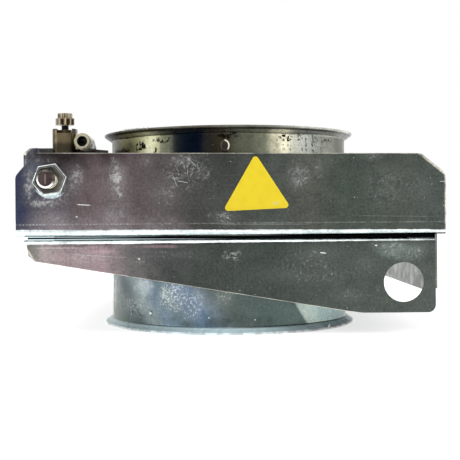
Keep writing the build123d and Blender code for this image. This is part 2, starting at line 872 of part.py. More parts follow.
collet_front = elbow_front + collet_travel + collet_head
with BuildPart() as release_collet:
    with BuildSketch(port_view.offset(collet_front)):
        with Locations((elbow_axis_x, elbow_axis_height)):
            Circle(collet_head_diameter / 2)
    extrude(amount=-collet_head)
    with BuildSketch(port_view.offset(collet_front - collet_head)):
        with Locations((elbow_axis_x, elbow_axis_height)):
            Circle(collet_diameter / 2)
    extrude(amount=-collet_sleeve)
    with BuildSketch(port_view.offset(collet_front)):
        with Locations((elbow_axis_x, elbow_axis_height)):
            Circle(tube_bore / 2)
    extrude(amount=-collet_head - collet_sleeve, mode=Mode.SUBTRACT)

seal_front = elbow_front + collet_travel - pocket_depth + tube_seal_length
with BuildPart() as tube_seal:
    with BuildSketch(port_view.offset(seal_front)):
        with Locations((elbow_axis_x, elbow_axis_height)):
            Circle(pocket_radius)
            Circle(tube_bore / 2, mode=Mode.SUBTRACT)
    extrude(amount=-tube_seal_length)

regulator_pieces = {
    "port_bolt": port_bolt,
    "regulator_body": regulator_body,
    "gland_nut": gland_nut,
    "needle_screw": needle_screw,
    "lock_nut": lock_nut,
    "port_elbow": port_elbow,
    "release_collet": release_collet,
    "tube_seal": tube_seal,
}
for end, seat in (("cap", cap_seat), ("rod", rod_seat)):
    for name, piece in regulator_pieces.items():
        keep(seat.location * piece.part, f"{end}_{name}")

print(len(exported), "pieces written")
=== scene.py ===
import bpy
import bmesh
import math
from mathutils import Matrix, Vector


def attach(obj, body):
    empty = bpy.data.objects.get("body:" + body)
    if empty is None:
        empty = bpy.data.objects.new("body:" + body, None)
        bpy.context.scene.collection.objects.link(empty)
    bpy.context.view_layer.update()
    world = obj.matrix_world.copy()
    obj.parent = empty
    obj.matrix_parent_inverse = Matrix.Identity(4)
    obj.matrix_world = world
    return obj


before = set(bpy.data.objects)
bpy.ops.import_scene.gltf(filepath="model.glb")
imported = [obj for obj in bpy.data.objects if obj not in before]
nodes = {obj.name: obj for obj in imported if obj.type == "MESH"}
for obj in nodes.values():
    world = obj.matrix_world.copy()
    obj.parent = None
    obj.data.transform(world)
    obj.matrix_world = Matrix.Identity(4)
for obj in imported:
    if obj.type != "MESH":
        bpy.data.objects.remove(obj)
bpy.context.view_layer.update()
mm = 0.001

# Places in the gate that several finishes share, in millimetres; the two pairs of Y values at the end
# are where a shade fades in, on the inner sheets and on the front one of the two regulators
gate = {
    "bladeLevel": 55.5, "slotHalf": 1.05, "frontFace": -80.0, "collarRadius": 75.0,
    "cylinderX": -101.5, "cylinderZ": 88.5, "studEnd": -98.0, "nutWidth": 17.0, "nutTurn": 9.0,
    "regulatorY": -28.5, "portAxis": (-88.8, 113.3), "innerFront": (-75.4, -76.2), "rearLimit": (40, 20),
}
print("frame loaded:", len(nodes), "pieces")


# Helpers for shader and geometry trees
def srgb(red, green, blue):
    def linear(value):
        value /= 255
        return value / 12.92 if value <= 0.04045 else ((value + 0.055) / 1.055) ** 2.4
    return (linear(red), linear(green), linear(blue), 1.0)


def put(tree, kind, inputs=None, **settings):
    node = tree.nodes.new(kind)
    for key, value in settings.items():
        setattr(node, key, value)
    for key, value in (inputs or {}).items():
        if isinstance(value, bpy.types.NodeSocket):
            tree.links.new(value, node.inputs[key])
        else:
            node.inputs[key].default_value = value
    return node


def calc(tree, operation, first, second=0.0, third=0.0):
    return put(tree, "ShaderNodeMath", {0: first, 1: second, 2: third}, operation=operation).outputs[0]


def times(tree, *masks):
    result = masks[0]
    for mask in masks[1:]:
        result = calc(tree, "MULTIPLY", result, mask)
    return result


def plus(tree, first, second):
    return calc(tree, "ADD", first, second)


def minus(tree, first, second):
    return calc(tree, "SUBTRACT", first, second)


def apart(tree, first, second):
    return calc(tree, "ABSOLUTE", minus(tree, first, second))


def squareSum(tree, first, second):
    return plus(tree, times(tree, first, first), times(tree, second, second))


# A value shifted up and down by a noise value about its middle
def wavy(tree, value, noise, amount):
    return plus(tree, value, times(tree, minus(tree, noise, 0.5), amount))


def tint(tree, amount, base, top, mode="MIX"):
    base, top = (tone if isinstance(tone, bpy.types.NodeSocket) else srgb(*tone) for tone in (base, top))
    return put(
        tree, "ShaderNodeMix", {0: amount, 6: base, 7: top}, data_type="RGBA", blend_type=mode
    ).outputs[2]


def shaded(tree, colour, value):
    gain = put(tree, "ShaderNodeCombineColor", {0: value, 1: value, 2: value}).outputs[0]
    return tint(tree, 1.0, colour, gain, "MULTIPLY")


def window(tree, value, low, high, lowOut=0.0, highOut=1.0, smooth=True):
    node = put(
        tree, "ShaderNodeMapRange",
        {"Value": value, "From Min": low, "From Max": high, "To Min": lowOut, "To Max": highOut},
        interpolation_type="SMOOTHSTEP" if smooth else "LINEAR",
    )
    return node.outputs[0]


# A window whose two ends are given in millimetres
def span(tree, value, low, high, *out, **more):
    return window(tree, value, low * mm, high * mm, *out, **more)


def grain(tree, place, scale, detail=3.0, roughness=0.55, distortion=0.0):
    node = put(
        tree, "ShaderNodeTexNoise",
        {
            "Vector": place, "Scale": scale, "Detail": detail, "Roughness": roughness,
            "Distortion": distortion,
        },
    )
    return node.outputs[0]


def ramp(tree, value, stops):
    node = put(tree, "ShaderNodeValToRGB", {0: value})
    band = node.color_ramp
    band.interpolation = "EASE"
    while len(band.elements) < len(stops):
        band.elements.new(0.5)
    for element, (position, colour) in zip(band.elements, stops):
        element.position = position
        element.color = srgb(*colour)
    return node.outputs[0]


def stretched(tree, place, x, y, z):
    return put(tree, "ShaderNodeMapping", {"Vector": place, "Scale": (x, y, z)}).outputs[0]


# Small round specks in some of the cells of a cell pattern
def specks(tree, place, scale, size, share):
    cells = put(tree, "ShaderNodeTexVoronoi", {"Vector": place, "Scale": scale})
    draw = put(tree, "ShaderNodeSeparateColor", {0: cells.outputs["Color"]})
    radius = times(tree, draw.outputs[1], size)
    near = window(tree, minus(tree, cells.outputs["Distance"], radius), 0.04, 0.0)
    return times(tree, near, calc(tree, "LESS_THAN", draw.outputs[0], share))


# Thin curved lines, like swirls left by wiping
def swirls(tree, place, scale, width, bend=1.5):
    field = grain(tree, place, scale, 2, 0.5, bend)
    return window(tree, apart(tree, field, 0.5), width, width * 0.3)


# Grains that stand close where the cover is high and far apart where it is low, over a thin veil
def scattered(tree, grains, cover):
    lifted = calc(tree, "MULTIPLY_ADD", cover, 0.22, grains)
    return calc(tree, "MAXIMUM", window(tree, lifted, 0.60, 0.69), 0.22)


# Soft round patch about a point, its outline broken up by a noise value
def patch(tree, place, middle, radius, wobble, amount=1.0):
    offset = put(
        tree, "ShaderNodeVectorMath", {0: place, 1: [v * mm for v in middle]}, operation="SUBTRACT"
    )
    scaled = put(
        tree, "ShaderNodeVectorMath",
        {0: offset.outputs[0], 1: [1 / (v * mm) for v in radius]}, operation="MULTIPLY",
    )
    length = put(
        tree, "ShaderNodeVectorMath", {0: scaled.outputs[0]}, operation="LENGTH"
    ).outputs["Value"]
    if wobble is not None:
        length = wavy(tree, length, wobble, 2.2)
    return window(tree, length, 1.0, 0.0, 0.0, amount)


# Straight line in the front's plane: 1 on the line and 0 beyond the width
def edgeLine(tree, axes, start, end, width):
    direction = Vector((end[0] - start[0], end[1] - start[1])).normalized()
    across = calc(tree, "MULTIPLY_ADD", axes["Z"], direction.x, times(tree, axes["X"], -direction.y))
    offset = (start[1] * direction.x - start[0] * direction.y) * mm
    distance = apart(tree, across, offset)
    return span(tree, distance, 0.35 * width, width, 1.0, 0.0)


def shortLine(tree, place, axes, start, end, width):
    middle = [(a + b) / 2 for a, b in zip(start, end)]
    reach = max(math.dist(start, end) * 0.62, 0.8)
    near = patch(tree, place, (middle[0], gate["frontFace"], middle[1]), (reach, 3, reach), None)
    return times(tree, edgeLine(tree, axes, start, end, width), window(tree, near, 0.0, 0.35))


def startMaterial(name, metallic, roughness):
    made = bpy.data.materials.new(name)
    made.use_nodes = True
    tree = made.node_tree
    shader = tree.nodes["Principled BSDF"]
    shader.inputs["Metallic"].default_value = metallic
    shader.inputs["Roughness"].default_value = roughness
    place = put(tree, "ShaderNodeTexCoord").outputs["Object"]
    axes = put(tree, "ShaderNodeSeparateXYZ", {0: place}).outputs
    return made, tree, shader, place, axes


def finishMaterial(tree, shader, colour, roughness, height, strength, depth):
    tree.links.new(colour, shader.inputs["Base Color"])
    tree.links.new(roughness, shader.inputs["Roughness"])
    bump = put(tree, "ShaderNodeBump", {"Height": height, "Strength": strength, "Distance": depth})
    tree.links.new(bump.outputs[0], shader.inputs["Normal"])


# Galvanised sheet
tones = {
    "plain": (122, 124, 121), "plainDark": (100, 103, 100), "plainLight": (148, 151, 148),
    "haze": (196, 197, 196), "speck": (220, 226, 222), "fold": (240, 248, 248),
    "foldDull": (196, 208, 208), "edgeHighlight": (206, 203, 190), "black": (6, 6, 7),
}
upperLeg = {
    "span": (-121.7, 121.7), "side": 1, "foldReach": (3.9, 2.45), "mouth": (-0.15, 0.75),
    # painted reflections: tones from the left end to the right end
    "along": (
        (0.00, (50, 56, 76)), (0.034, (63, 63, 74)), (0.085, (84, 80, 85)), (0.17, (94, 83, 85)),
        (0.25, (101, 93, 95)), (0.295, (87, 79, 80)), (0.35, (80, 76, 75)), (0.42, (62, 63, 61)),
        (0.50, (62, 64, 61)), (0.58, (70, 74, 70)), (0.68, (77, 80, 74)), (0.78, (69, 76, 70)),
        (0.88, (71, 76, 70)), (1.00, (74, 80, 76)),
    ),
    # broad patches of painted reflection: middle, radii, tone, amount
    "shades": (
        ((-88, 59), (64, 17), (128, 120, 124), 0.85), ((-42, 60), (34, 12), (110, 103, 105), 0.5),
        ((-94, 104), (26, 12), (40, 34, 35), 1.0), ((-62, 103), (26, 9), (56, 46, 47), 0.85),
        ((-32, 99), (12, 8), (56, 54, 52), 0.6), ((-112, 94), (7, 9), (92, 96, 104), 0.6),
        ((-118, 68), (7, 12), (44, 48, 76), 0.6), ((68, 82), (20, 13), (60, 69, 62), 0.6),
        ((-8, 90), (12, 12), (58, 59, 56), 0.5),
    ),
    # wiped haze: middle, radii, amount
    "haze": (
        ((-64, 89), (6, 17), 1.0), ((-66, 69), (10, 9), 0.45), ((-37, 81), (14, 12), 0.5),
        ((-27, 99), (15, 6), 0.7), ((-18, 92), (11, 6), 0.45), ((-104, 100), (12, 4), 0.35),
        ((-114, 86), (6, 14), 0.8), ((-106, 76), (16, 5), 0.8), ((-87, 90), (6, 13), 0.65),
        ((39, 89), (11, 11), 0.5), ((50, 95), (6, 9), 0.5), ((80, 101), (9, 4), 0.5),
        ((-4, 67), (14, 7), 0.5), ((107, 82), (14, 16), 0.25), ((-48, 99), (7, 5), 0.5),
        ((13, 62), (30, 5), 0.3), ((-10, 80), (30, 22), 0.2), ((90, 84), (34, 22), 0.2),
        ((-98, 66), (30, 8), 0.3),
    ),
    "swirl": (
        ((-27, 94), (17, 11), 0.55), ((-2, 66), (10, 9), 0.7), ((40, 92), (13, 13), 0.4),
        ((-98, 78), (14, 9), 0.4), ((-64, 88), (8, 14), 0.35), ((90, 84), (24, 15), 0.15),
    ),
    "scratches": (  # ends, width and amount
        ((-86.9, 74.7), (-79.0, 74.2), 0.24, 0.95), ((-30, 87.6), (-24, 86.6), 0.2, 0.5),
        ((-87.3, 67.7), (-86.9, 67.7), 0.45, 0.8), ((70, 67.2), (116, 66.4), 0.2, 0.08),
        ((-6, 62.8), (46, 62.6), 0.22, 0.12), ((118.5, 86.2), (121.5, 86.2), 0.2, 0.6),
        ((-33, 92), (-30, 84), 0.3, 0.2), ((-24.5, 101), (-19, 95.5), 0.25, 0.25),
    ),
    # painted highlights along the cut edges
    "edges": (  # ends, width and amount
        ((-121.7, 91.2), (-110.2, 104.1), 0.5, 0.25), ((-60, 103.7), (107.7, 102.3), 0.5, 0.6),
        ((107.7, 102.3), (121.7, 91.0), 1.7, 1.0), ((121.7, 91.0), (121.7, 58.0), 0.95, 1.0),
    ),
}
lowerLeg = {
    "span": (-117.6, 115.6), "side": -1, "foldReach": (2.3, 1.2), "mouth": (-0.1, 0.1),
    # painted reflections along the leg and in broad patches, as on the upper leg
    "along": (
        (0.00, (104, 100, 94)), (0.022, (114, 111, 107)), (0.054, (146, 136, 135)),
        (0.09, (136, 123, 124)), (0.14, (141, 127, 128)), (0.187, (143, 127, 131)),
        (0.225, (124, 113, 114)), (0.27, (92, 90, 90)), (0.36, (64, 66, 65)), (0.44, (64, 68, 65)),
        (0.60, (61, 67, 63)), (0.74, (71, 77, 73)), (0.90, (73, 79, 74)), (1.00, (77, 82, 78)),
    ),
    "shades": (
        ((-80, 51.5), (38, 1.8), (86, 78, 80), 0.85), ((-44, 50.6), (22, 1.6), (150, 124, 132), 0.7),
        ((-72, 48), (16, 2.6), (180, 154, 162), 0.6), ((-90, 44.5), (24, 3), (150, 134, 134), 0.5),
        ((96, 48), (19, 8), (104, 116, 111), 0.7), ((111, 44), (5, 6), (66, 74, 70), 0.7),
        ((0, 33), (60, 9), (60, 65, 62), 0.5),
    ),
    "haze": (
        ((-84, 45), (30, 5), 0.4), ((92, 49), (16, 7), 0.5), ((106, 47), (7, 7), 0.5),
        ((48, 46), (24, 7), 0.3), ((76, 40), (12, 9), 0.25), ((-30, 46), (20, 5), 0.3),
        ((30, 34), (34, 9), 0.22), ((66, 22), (14, 6), 0.3),
    ),
    "swirl": (
        ((0, 45), (9, 5), 0.9), ((100, 46), (14, 7), 0.4), ((-52, 43), (9, 4), 0.5),
        ((40, 36), (40, 14), 0.2),
    ),
    "scratches": (
        ((50.2, 46.5), (53.6, 46.1), 0.34, 0.85), ((-52.6, 43.8), (-51.4, 43.5), 0.5, 0.7),
        ((81.7, 50.3), (82.3, 50.2), 0.45, 0.8), ((-90, 46.5), (-60, 44.5), 0.2, 0.2),
        ((-112, 50.3), (-84, 50.1), 0.25, 0.3),
    ),
    # painted highlights along the cut edges
    "edges": (
        ((-111.3, 42.6), (60.1, 14.1), 0.42, 0.75), ((60.1, 14.1), (74.1, 12.2), 0.35, 0.4),
        ((74.1, 12.2), (115.6, 12.2), 0.3, 0.3), ((-117.6, 53.5), (-111.3, 42.6), 0.8, 0.7),
    ),
}


# Patch in the front face, given by its X and Z
def onFront(tree, place, middle, radius, wobble, amount):
    (x, z), (wide, high) = middle, radius
    return patch(tree, place, (x, gate["frontFace"], z), (wide, 9, high), wobble, amount)


def addLeg(tree, place, axes, colour, leg, coarse, medium, fine):
    low, high = leg["span"]
    side = leg["side"]
    front = span(tree, axes["Y"], -79.2, -79.8)
    # painted reflections on the front face: a tone along the leg, then broad patches
    along = span(tree, axes["X"], low, high, smooth=False)
    along = wavy(tree, along, coarse, 0.05)
    colour = tint(tree, front, colour, ramp(tree, along, leg["along"]))
    for middle, radius, tone, amount in leg["shades"]:
        colour = tint(tree, onFront(tree, place, middle, radius, coarse, amount), colour, tone)

    # haze that breaks up into fine grains, and the swirls and scratches in it
    grains = grain(tree, place, 420, 5, 0.8, 0.3)
    dusty = window(tree, grains, 0.42, 0.58, 0.15, 1.0)
    cover = 0.0
    for middle, radius, amount in leg["haze"]:
        cover = calc(tree, "MAXIMUM", onFront(tree, place, middle, radius, medium, amount), cover)
    colour = tint(tree, times(tree, cover, scattered(tree, grains, cover), 0.62), colour, tones["haze"])
    curl = calc(tree, "MAXIMUM", swirls(tree, place, 95, 0.018), swirls(tree, place, 210, 0.025, 2.5))
    for middle, radius, amount in leg["swirl"]:
        here = onFront(tree, place, middle, radius, coarse, amount)
        colour = tint(tree, times(tree, curl, here, dusty), colour, tones["haze"])
    for start, end, width, amount in leg["scratches"]:
        line = times(tree, shortLine(tree, place, axes, start, end, width), amount)
        colour = tint(tree, line, colour, tones["fold"])
    # painted highlights along the cut edges, broken up by noise
    for start, end, width, amount in leg["edges"]:
        patchyHighlight = times(
            tree, edgeLine(tree, axes, start, end, width), window(tree, medium, 0.30, 0.60, 0.45, 1.0),
            front, amount,
        )
        colour = tint(tree, patchyHighlight, colour, tones["edgeHighlight"])

    # painted reflection round the fold, duller in streaks, and painted shade in the dark mouth of the
    # slot
    slotEdge = (gate["bladeLevel"] + side * gate["slotHalf"]) * mm
    rise = times(tree, minus(tree, axes["Z"], slotEdge), side)
    leftReach, rightReach = leg["foldReach"]
    reach = span(tree, axes["X"], low, high, leftReach * mm, rightReach * mm, smooth=False)
    reach = wavy(tree, reach, medium, 0.9 * mm)
    over = minus(tree, rise, reach)
    leftMouth, rightMouth = leg["mouth"]
    mouth = span(tree, axes["X"], low, high, leftMouth * mm, rightMouth * mm, smooth=False)
    deep = minus(tree, rise, mouth)
    onFold = times(tree, span(tree, over, 0.35, -0.2), span(tree, axes["Y"], -76.7, -77.0))
    streak = window(tree, grain(tree, stretched(tree, place, 28, 1, 1200), 1.0, 2), 0.46, 0.60)
    bright = tint(tree, streak, tones["foldDull"], tones["fold"])
    bright = tint(tree, span(tree, over, -1.3, -0.1, 0.0, 0.5), bright, tones["haze"])
    colour = tint(tree, onFold, colour, bright)
    slotShade = times(tree, window(tree, deep, 0.22 * mm, 0.0), span(tree, axes["Y"], -60, -74))
    colour = tint(tree, slotShade, colour, tones["black"])

    # row of faint press marks along the upper fold, each drawn as a painted highlight above a painted
    # shadow, with a faint pale line along them
    if side > 0:
        level = gate["bladeLevel"] + 7.6
        wave = calc(tree, "SINE", times(tree, axes["X"], 2 * math.pi / (1.9 * mm)))
        ticks = times(tree, window(tree, wave, 0.0, 0.8), window(tree, medium, 0.44, 0.54, 0.15, 1.0))
        leftPart = span(tree, axes["X"], -35, -75)
        for up, width, tone, amount in ((0.2, 0.6, "speck", 0.22), (-0.7, 0.6, "black", 0.4)):
            line = times(
                tree, edgeLine(tree, axes, (-200, level + up), (200, level + up), width), front, amount
            )
            colour = tint(tree, times(tree, line, ticks, leftPart), colour, tones[tone])
        faint = times(
            tree, edgeLine(tree, axes, (-200, level + 0.4), (200, level + 0.4), 0.5), front, dusty, 0.12
        )
        colour = tint(tree, faint, colour, tones["speck"])

        # painted highlight in a ring below the nut, broken up by noise
        dx, dz, radius = fromCylinderAxis(tree, axes)
        below = span(tree, calc(tree, "MULTIPLY_ADD", dx, 0.12, dz), -5.2, -8.2)
        patchyHighlight = window(tree, fine, 0.3, 0.55, 0.5, 1.0)
        ring = times(tree, span(tree, radius, 10.8, 9.8), below, patchyHighlight, front)
        colour = tint(tree, ring, colour, (196, 214, 218))
    return colour


def fromCylinderAxis(tree, axes):
    dx = minus(tree, axes["X"], gate["cylinderX"] * mm)
    dz = minus(tree, axes["Z"], gate["cylinderZ"] * mm)
    return dx, dz, calc(tree, "SQRT", squareSum(tree, dx, dz))


def makeSheet(name, leg=None, darkFront=False):
    made, tree, shader, place, axes = startMaterial(name, 1.0, 0.34)
    coarse = grain(tree, place, 26, 4, 0.6)
    medium = grain(tree, place, 120, 4, 0.62, 0.4)
    fine = grain(tree, place, 700, 3, 0.6)
    rolled = grain(tree, stretched(tree, place, 10, 10, 700), 1.0, 2)
    colour = ramp(
        tree, coarse, ((0.32, tones["plainDark"]), (0.5, tones["plain"]), (0.7, tones["plainLight"]))
    )
    if leg:
        colour = addLeg(tree, place, axes, colour, leg, coarse, medium, fine)
    mottle = plus(tree, times(tree, fine, 0.55), times(tree, medium, 0.45))
    colour = shaded(tree, colour, window(tree, mottle, 0.39, 0.61, 0.74, 1.24, smooth=False))
    crowd = window(tree, grain(tree, place, 34, 2), 0.42, 0.60, 0.3, 1.0)
    dust = calc(
        tree, "MAXIMUM", specks(tree, place, 460, 0.22, 0.40), specks(tree, place, 230, 0.09, 0.12)
    )
    colour = tint(
        tree, times(tree, dust, crowd, window(tree, fine, 0.38, 0.62, 0.12, 0.62)), colour, tones["speck"]
    )
    pits = specks(tree, stretched(tree, place, 1.3, 1, 1), 330, 0.16, 0.2)
    colour = tint(tree, times(tree, pits, crowd, 0.45), colour, tones["black"])
    if darkFront:
        # painted shade makes the slot's inside black, between painted reflections of the folds that
        # narrow it towards the left
        half = span(tree, axes["X"], -75, 45, 0.42 * mm, 1.1 * mm, smooth=False)
        off = apart(tree, axes["Z"], (gate["bladeLevel"] + 0.1) * mm)
        folds = span(tree, minus(tree, off, half), -0.05, 0.12)
        inside = tint(tree, folds, tones["black"], (206, 224, 228))
        colour = tint(tree, span(tree, axes["Y"], *gate["innerFront"]), colour, inside)
    roughness = plus(tree, window(tree, medium, 0.3, 0.7, 0.24, 0.42), times(tree, coarse, 0.08))
    if darkFront:
        roughness = times(tree, roughness, span(tree, axes["Y"], *gate["innerFront"], 1.0, 0.25))
    height = plus(
        tree, times(tree, rolled, 0.2), plus(tree, times(tree, medium, 0.35), times(tree, fine, 0.2))
    )
    finishMaterial(tree, shader, colour, roughness, height, 0.14, 0.0003)
    return made


finishes = {
    "upperSheet": makeSheet("upperSheet", upperLeg),
    "lowerSheet": makeSheet("lowerSheet", lowerLeg),
    "innerSheet": makeSheet("innerSheet", darkFront=True),
    "sideSheet": makeSheet("sideSheet"),
}
print("sheet finishes made")


# Collars: painted reflections run round the tube, in dark and pale bands at the front
upperCollar = {
    "name": "upperCollar", "rim": 119.2, "side": 1, "shear": 0.0,
    "around": (
        (0.00, (112, 112, 100)), (0.20, (96, 94, 78)), (0.262, (40, 34, 20)), (0.315, (66, 58, 34)),
        (0.342, (124, 120, 86)), (0.366, (134, 133, 99)), (0.381, (174, 172, 138)),
        (0.392, (204, 203, 166)), (0.403, (166, 165, 134)), (0.411, (94, 96, 78)), (0.420, (72, 74, 62)),
        (0.432, (18, 22, 24)), (0.445, (8, 15, 24)), (0.462, (8, 14, 26)), (0.474, (38, 36, 34)),
        (0.488, (48, 44, 34)), (0.520, (86, 88, 75)), (0.542, (113, 115, 99)), (0.554, (190, 186, 162)),
        (0.567, (232, 228, 200)), (0.585, (156, 157, 146)), (0.600, (141, 144, 138)),
        (0.620, (140, 144, 137)), (0.645, (142, 144, 132)), (0.680, (86, 88, 75)), (0.730, (90, 92, 80)),
        (0.80, (120, 120, 110)), (1.00, (112, 112, 100)),
    ),
    "stain": (
        ((-64, -39, 106.6), (6, 12, 3), 1.6), ((-52, -54, 108.6), (5, 12, 4), 1.8),
        ((-43, -61, 106.5), (1.6, 12, 5), 1.5), ((-41, -62, 112), (11, 12, 3.4), 0.8),
        ((-3, -75, 113.8), (8, 12, 2.4), 0.8), ((34, -67, 113.4), (12, 12, 2.2), 0.4),
        ((56, -50, 112.6), (12, 14, 2.6), 0.3),
    ),
    "shades": (),
    "columns": ((44, -60, 110), (23, 30, 10), 1.2),
    "glints": (((-47, -58, 107), (6, 40, 8), 0.6), ((-44, -61, 112), (5, 40, 4), 0.4)),
    "stainTone": (20, 18, 12), "line": (0.9, (14, 13, 9), 0.92), "flareTone": None, "flareAmount": 0.0,
    "flareGain": 1.15,
    "lip": (
        (0.00, (120, 120, 108)), (0.24, (52, 50, 32)), (0.32, (64, 62, 42)), (0.40, (80, 78, 58)),
        (0.46, (88, 86, 72)), (0.52, (110, 110, 98)), (0.56, (150, 150, 140)), (0.61, (214, 214, 202)),
        (0.68, (232, 232, 222)), (0.73, (96, 92, 74)), (0.80, (120, 120, 108)),
    ),
}
lowerCollar = {
    "name": "lowerCollar", "rim": 0.0, "side": -1, "shear": 1.5,
    "around": (
        (0.00, (120, 132, 130)), (0.22, (110, 122, 118)), (0.27, (98, 110, 106)), (0.30, (84, 95, 92)),
        (0.33, (85, 99, 93)), (0.362, (72, 82, 85)), (0.395, (118, 130, 132)), (0.415, (92, 108, 120)),
        (0.435, (79, 95, 102)), (0.452, (72, 92, 111)), (0.468, (77, 97, 120)), (0.482, (95, 106, 114)),
        (0.505, (76, 85, 82)), (0.548, (74, 86, 84)), (0.594, (84, 97, 94)), (0.5965, (166, 178, 170)),
        (0.612, (162, 178, 172)), (0.635, (140, 160, 158)), (0.67, (122, 141, 141)),
        (0.74, (116, 132, 130)), (1.00, (120, 132, 130)),
    ),
    "stain": (
        ((-66, -36, 22), (11, 30, 16), 0.4), ((-58, -48, 11), (14, 30, 5), 0.4),
        ((-71, -26, 14), (7, 30, 14), 0.5), ((8, -75, 8), (40, 30, 4), 0.25),
    ),
    "shades": (
        ((-60, -45, 9), (20, 30, 5), (70, 82, 84), 0.7), ((0, -75, 8), (44, 30, 6), (64, 74, 72), 0.7),
        ((-72, -22, 20), (6, 30, 30), (70, 80, 76), 0.7),
        ((-52, -54, 27), (9, 30, 9), (168, 178, 180), 0.7),
    ),
    "columns": None,
    "glints": (
        ((-36, -66, 22), (19, 40, 17), 0.52), ((-22, -72, 17), (12, 40, 13), 0.42),
        ((-56, -50, 15), (16, 40, 11), 0.4), ((-47.4, -58, 10.6), (1.7, 40, 1.7), 1.4),
        ((-46, -59, 27), (13, 40, 10), 0.42), ((-4, -75, 21), (10, 40, 8), 0.35),
    ),
    "stainTone": (62, 72, 73), "line": (0.5, (96, 120, 128), 0.2), "flareTone": (206, 230, 236),
    "flareAmount": 0.95, "flareGain": 1.0,
    "lip": (
        (0.00, (206, 224, 226)), (0.30, (240, 246, 246)), (0.40, (228, 242, 246)),
        (0.46, (222, 240, 246)), (0.52, (232, 242, 244)), (0.60, (242, 246, 246)),
        (0.66, (250, 250, 246)), (0.80, (206, 224, 226)),
    ),
}


def makeCollar(spec):
    made, tree, shader, place, axes = startMaterial(spec["name"], 1.0, 0.3)
    coarse = grain(tree, place, 30, 4, 0.6)
    medium = grain(tree, place, 150, 4, 0.62, 0.3)
    fine = grain(tree, place, 800, 3, 0.6)
    drawn = grain(tree, stretched(tree, place, 9, 9, 600), 1.0, 3)
    turn = calc(tree, "ARCTAN2", axes["X"], times(tree, axes["Y"], -1.0))
    waver = minus(tree, grain(tree, stretched(tree, place, 60, 60, 8), 1.0, 2), 0.5)
    lean = times(tree, minus(tree, axes["Z"], 9 * mm), 2 * math.pi * spec["shear"])
    turn = plus(tree, plus(tree, turn, lean), times(tree, waver, 0.07))
    around = window(tree, turn, -math.pi, math.pi, smooth=False)
    # painted reflections round the tube, then patches of painted reflection, pale and dark
    colour = ramp(tree, around, spec["around"])
    for middle, radius, tone, amount in spec["shades"]:
        colour = tint(tree, patch(tree, place, middle, radius, medium, amount), colour, tone)
    grains = grain(tree, place, 760, 4, 0.75)
    cover = 0.0
    for middle, radius, amount in spec["glints"]:
        cover = calc(tree, "MAXIMUM", patch(tree, place, middle, radius, coarse, amount), cover)
    colour = tint(tree, times(tree, cover, scattered(tree, grains, cover)), colour, tones["speck"])
    blots = grain(tree, place, 430, 3, 0.65, 0.5)
    for middle, radius, amount in spec["stain"]:
        here = patch(tree, place, middle, radius, medium, amount)
        lifted = calc(tree, "MULTIPLY_ADD", here, 0.12, blots)
        spotted = times(tree, window(tree, lifted, 0.56, 0.62), window(tree, here, 0.0, 0.3))
        colour = tint(tree, spotted, colour, spec["stainTone"])
    if spec["columns"]:
        dots = window(tree, grain(tree, place, 620, 2), 0.50, 0.58)
        rows = window(tree, grain(tree, stretched(tree, place, 560, 560, 25), 1.0, 1), 0.50, 0.60)
        here = patch(tree, place, *spec["columns"][:2], coarse, spec["columns"][2])
        colour = tint(tree, times(tree, dots, rows, here), colour, spec["stainTone"])
    mottle = plus(tree, times(tree, fine, 0.5), times(tree, medium, 0.5))
    colour = shaded(tree, colour, window(tree, mottle, 0.38, 0.62, 0.78, 1.2, smooth=False))
    colour = tint(tree, times(tree, specks(tree, place, 300, 0.14, 0.16), 0.5), colour, tones["speck"])

    # the flare, brightened on the upper collar and given a streaky painted reflection on the lower; a
    # painted shadow line under its lip; and the lip in painted reflections round the tube
    level = times(tree, minus(tree, axes["Z"], spec["rim"] * mm), spec["side"])
    lineWidth, lineTone, lineAmount = spec["line"]
    flare = span(tree, level, -4.2, -3.0)
    colour = shaded(tree, colour, window(tree, flare, 0.0, 1.0, 1.0, spec["flareGain"]))
    if spec["flareTone"]:
        streaky = window(tree, drawn, 0.35, 0.65, spec["flareAmount"] - 0.3, spec["flareAmount"])
        colour = tint(tree, times(tree, flare, streaky), colour, spec["flareTone"])
    line = span(tree, level, -1.45 - lineWidth, -1.35 - 0.6 * lineWidth)
    colour = tint(tree, times(tree, line, lineAmount), colour, lineTone)
    lipTone = ramp(tree, around, spec["lip"])
    lipTone = shaded(tree, lipTone, window(tree, medium, 0.38, 0.62, 0.75, 1.15))
    colour = tint(tree, span(tree, level, -1.45, -1.2), colour, lipTone)
    tree.links.new(window(tree, flare, 0.0, 0.6, 1.0, 0.1), shader.inputs["Metallic"])
    roughness = window(tree, medium, 0.3, 0.7, 0.22, 0.4)
    height = plus(tree, times(tree, drawn, 0.4), times(tree, medium, 0.35))
    finishMaterial(tree, shader, colour, roughness, height, 0.14, 0.0003)
    return made


finishes["upperCollar"] = makeCollar(upperCollar)
finishes["lowerCollar"] = makeCollar(lowerCollar)
print("collar finishes made")


# Fasteners, turned and drawn metal, plastic and rubber
def makeMetal(
    name, base, dark, light, roughness, brushed=(60, 60, 60), grime=0.3, extra=None, metallic=1.0
):
    made, tree, shader, place, axes = startMaterial(name, metallic, roughness)
    coarse = grain(tree, place, 160, 4, 0.6)
    lines = grain(tree, stretched(tree, place, *brushed), 1.0, 3)
    fine = grain(tree, place, 1500, 2)
    colour = tint(tree, window(tree, lines, 0.3, 0.7), base, light)
    colour = tint(tree, window(tree, coarse, 0.42, 0.72, 0.0, grime), colour, dark)
    if extra:
        colour = extra(tree, place, axes, coarse, colour)
    rough = window(tree, coarse, 0.3, 0.7, roughness - 0.06, roughness + 0.1)
    height = plus(tree, times(tree, lines, 0.5), times(tree, fine, 0.25))
    finishMaterial(tree, shader, colour, rough, height, 0.1, 0.0002)
    return made


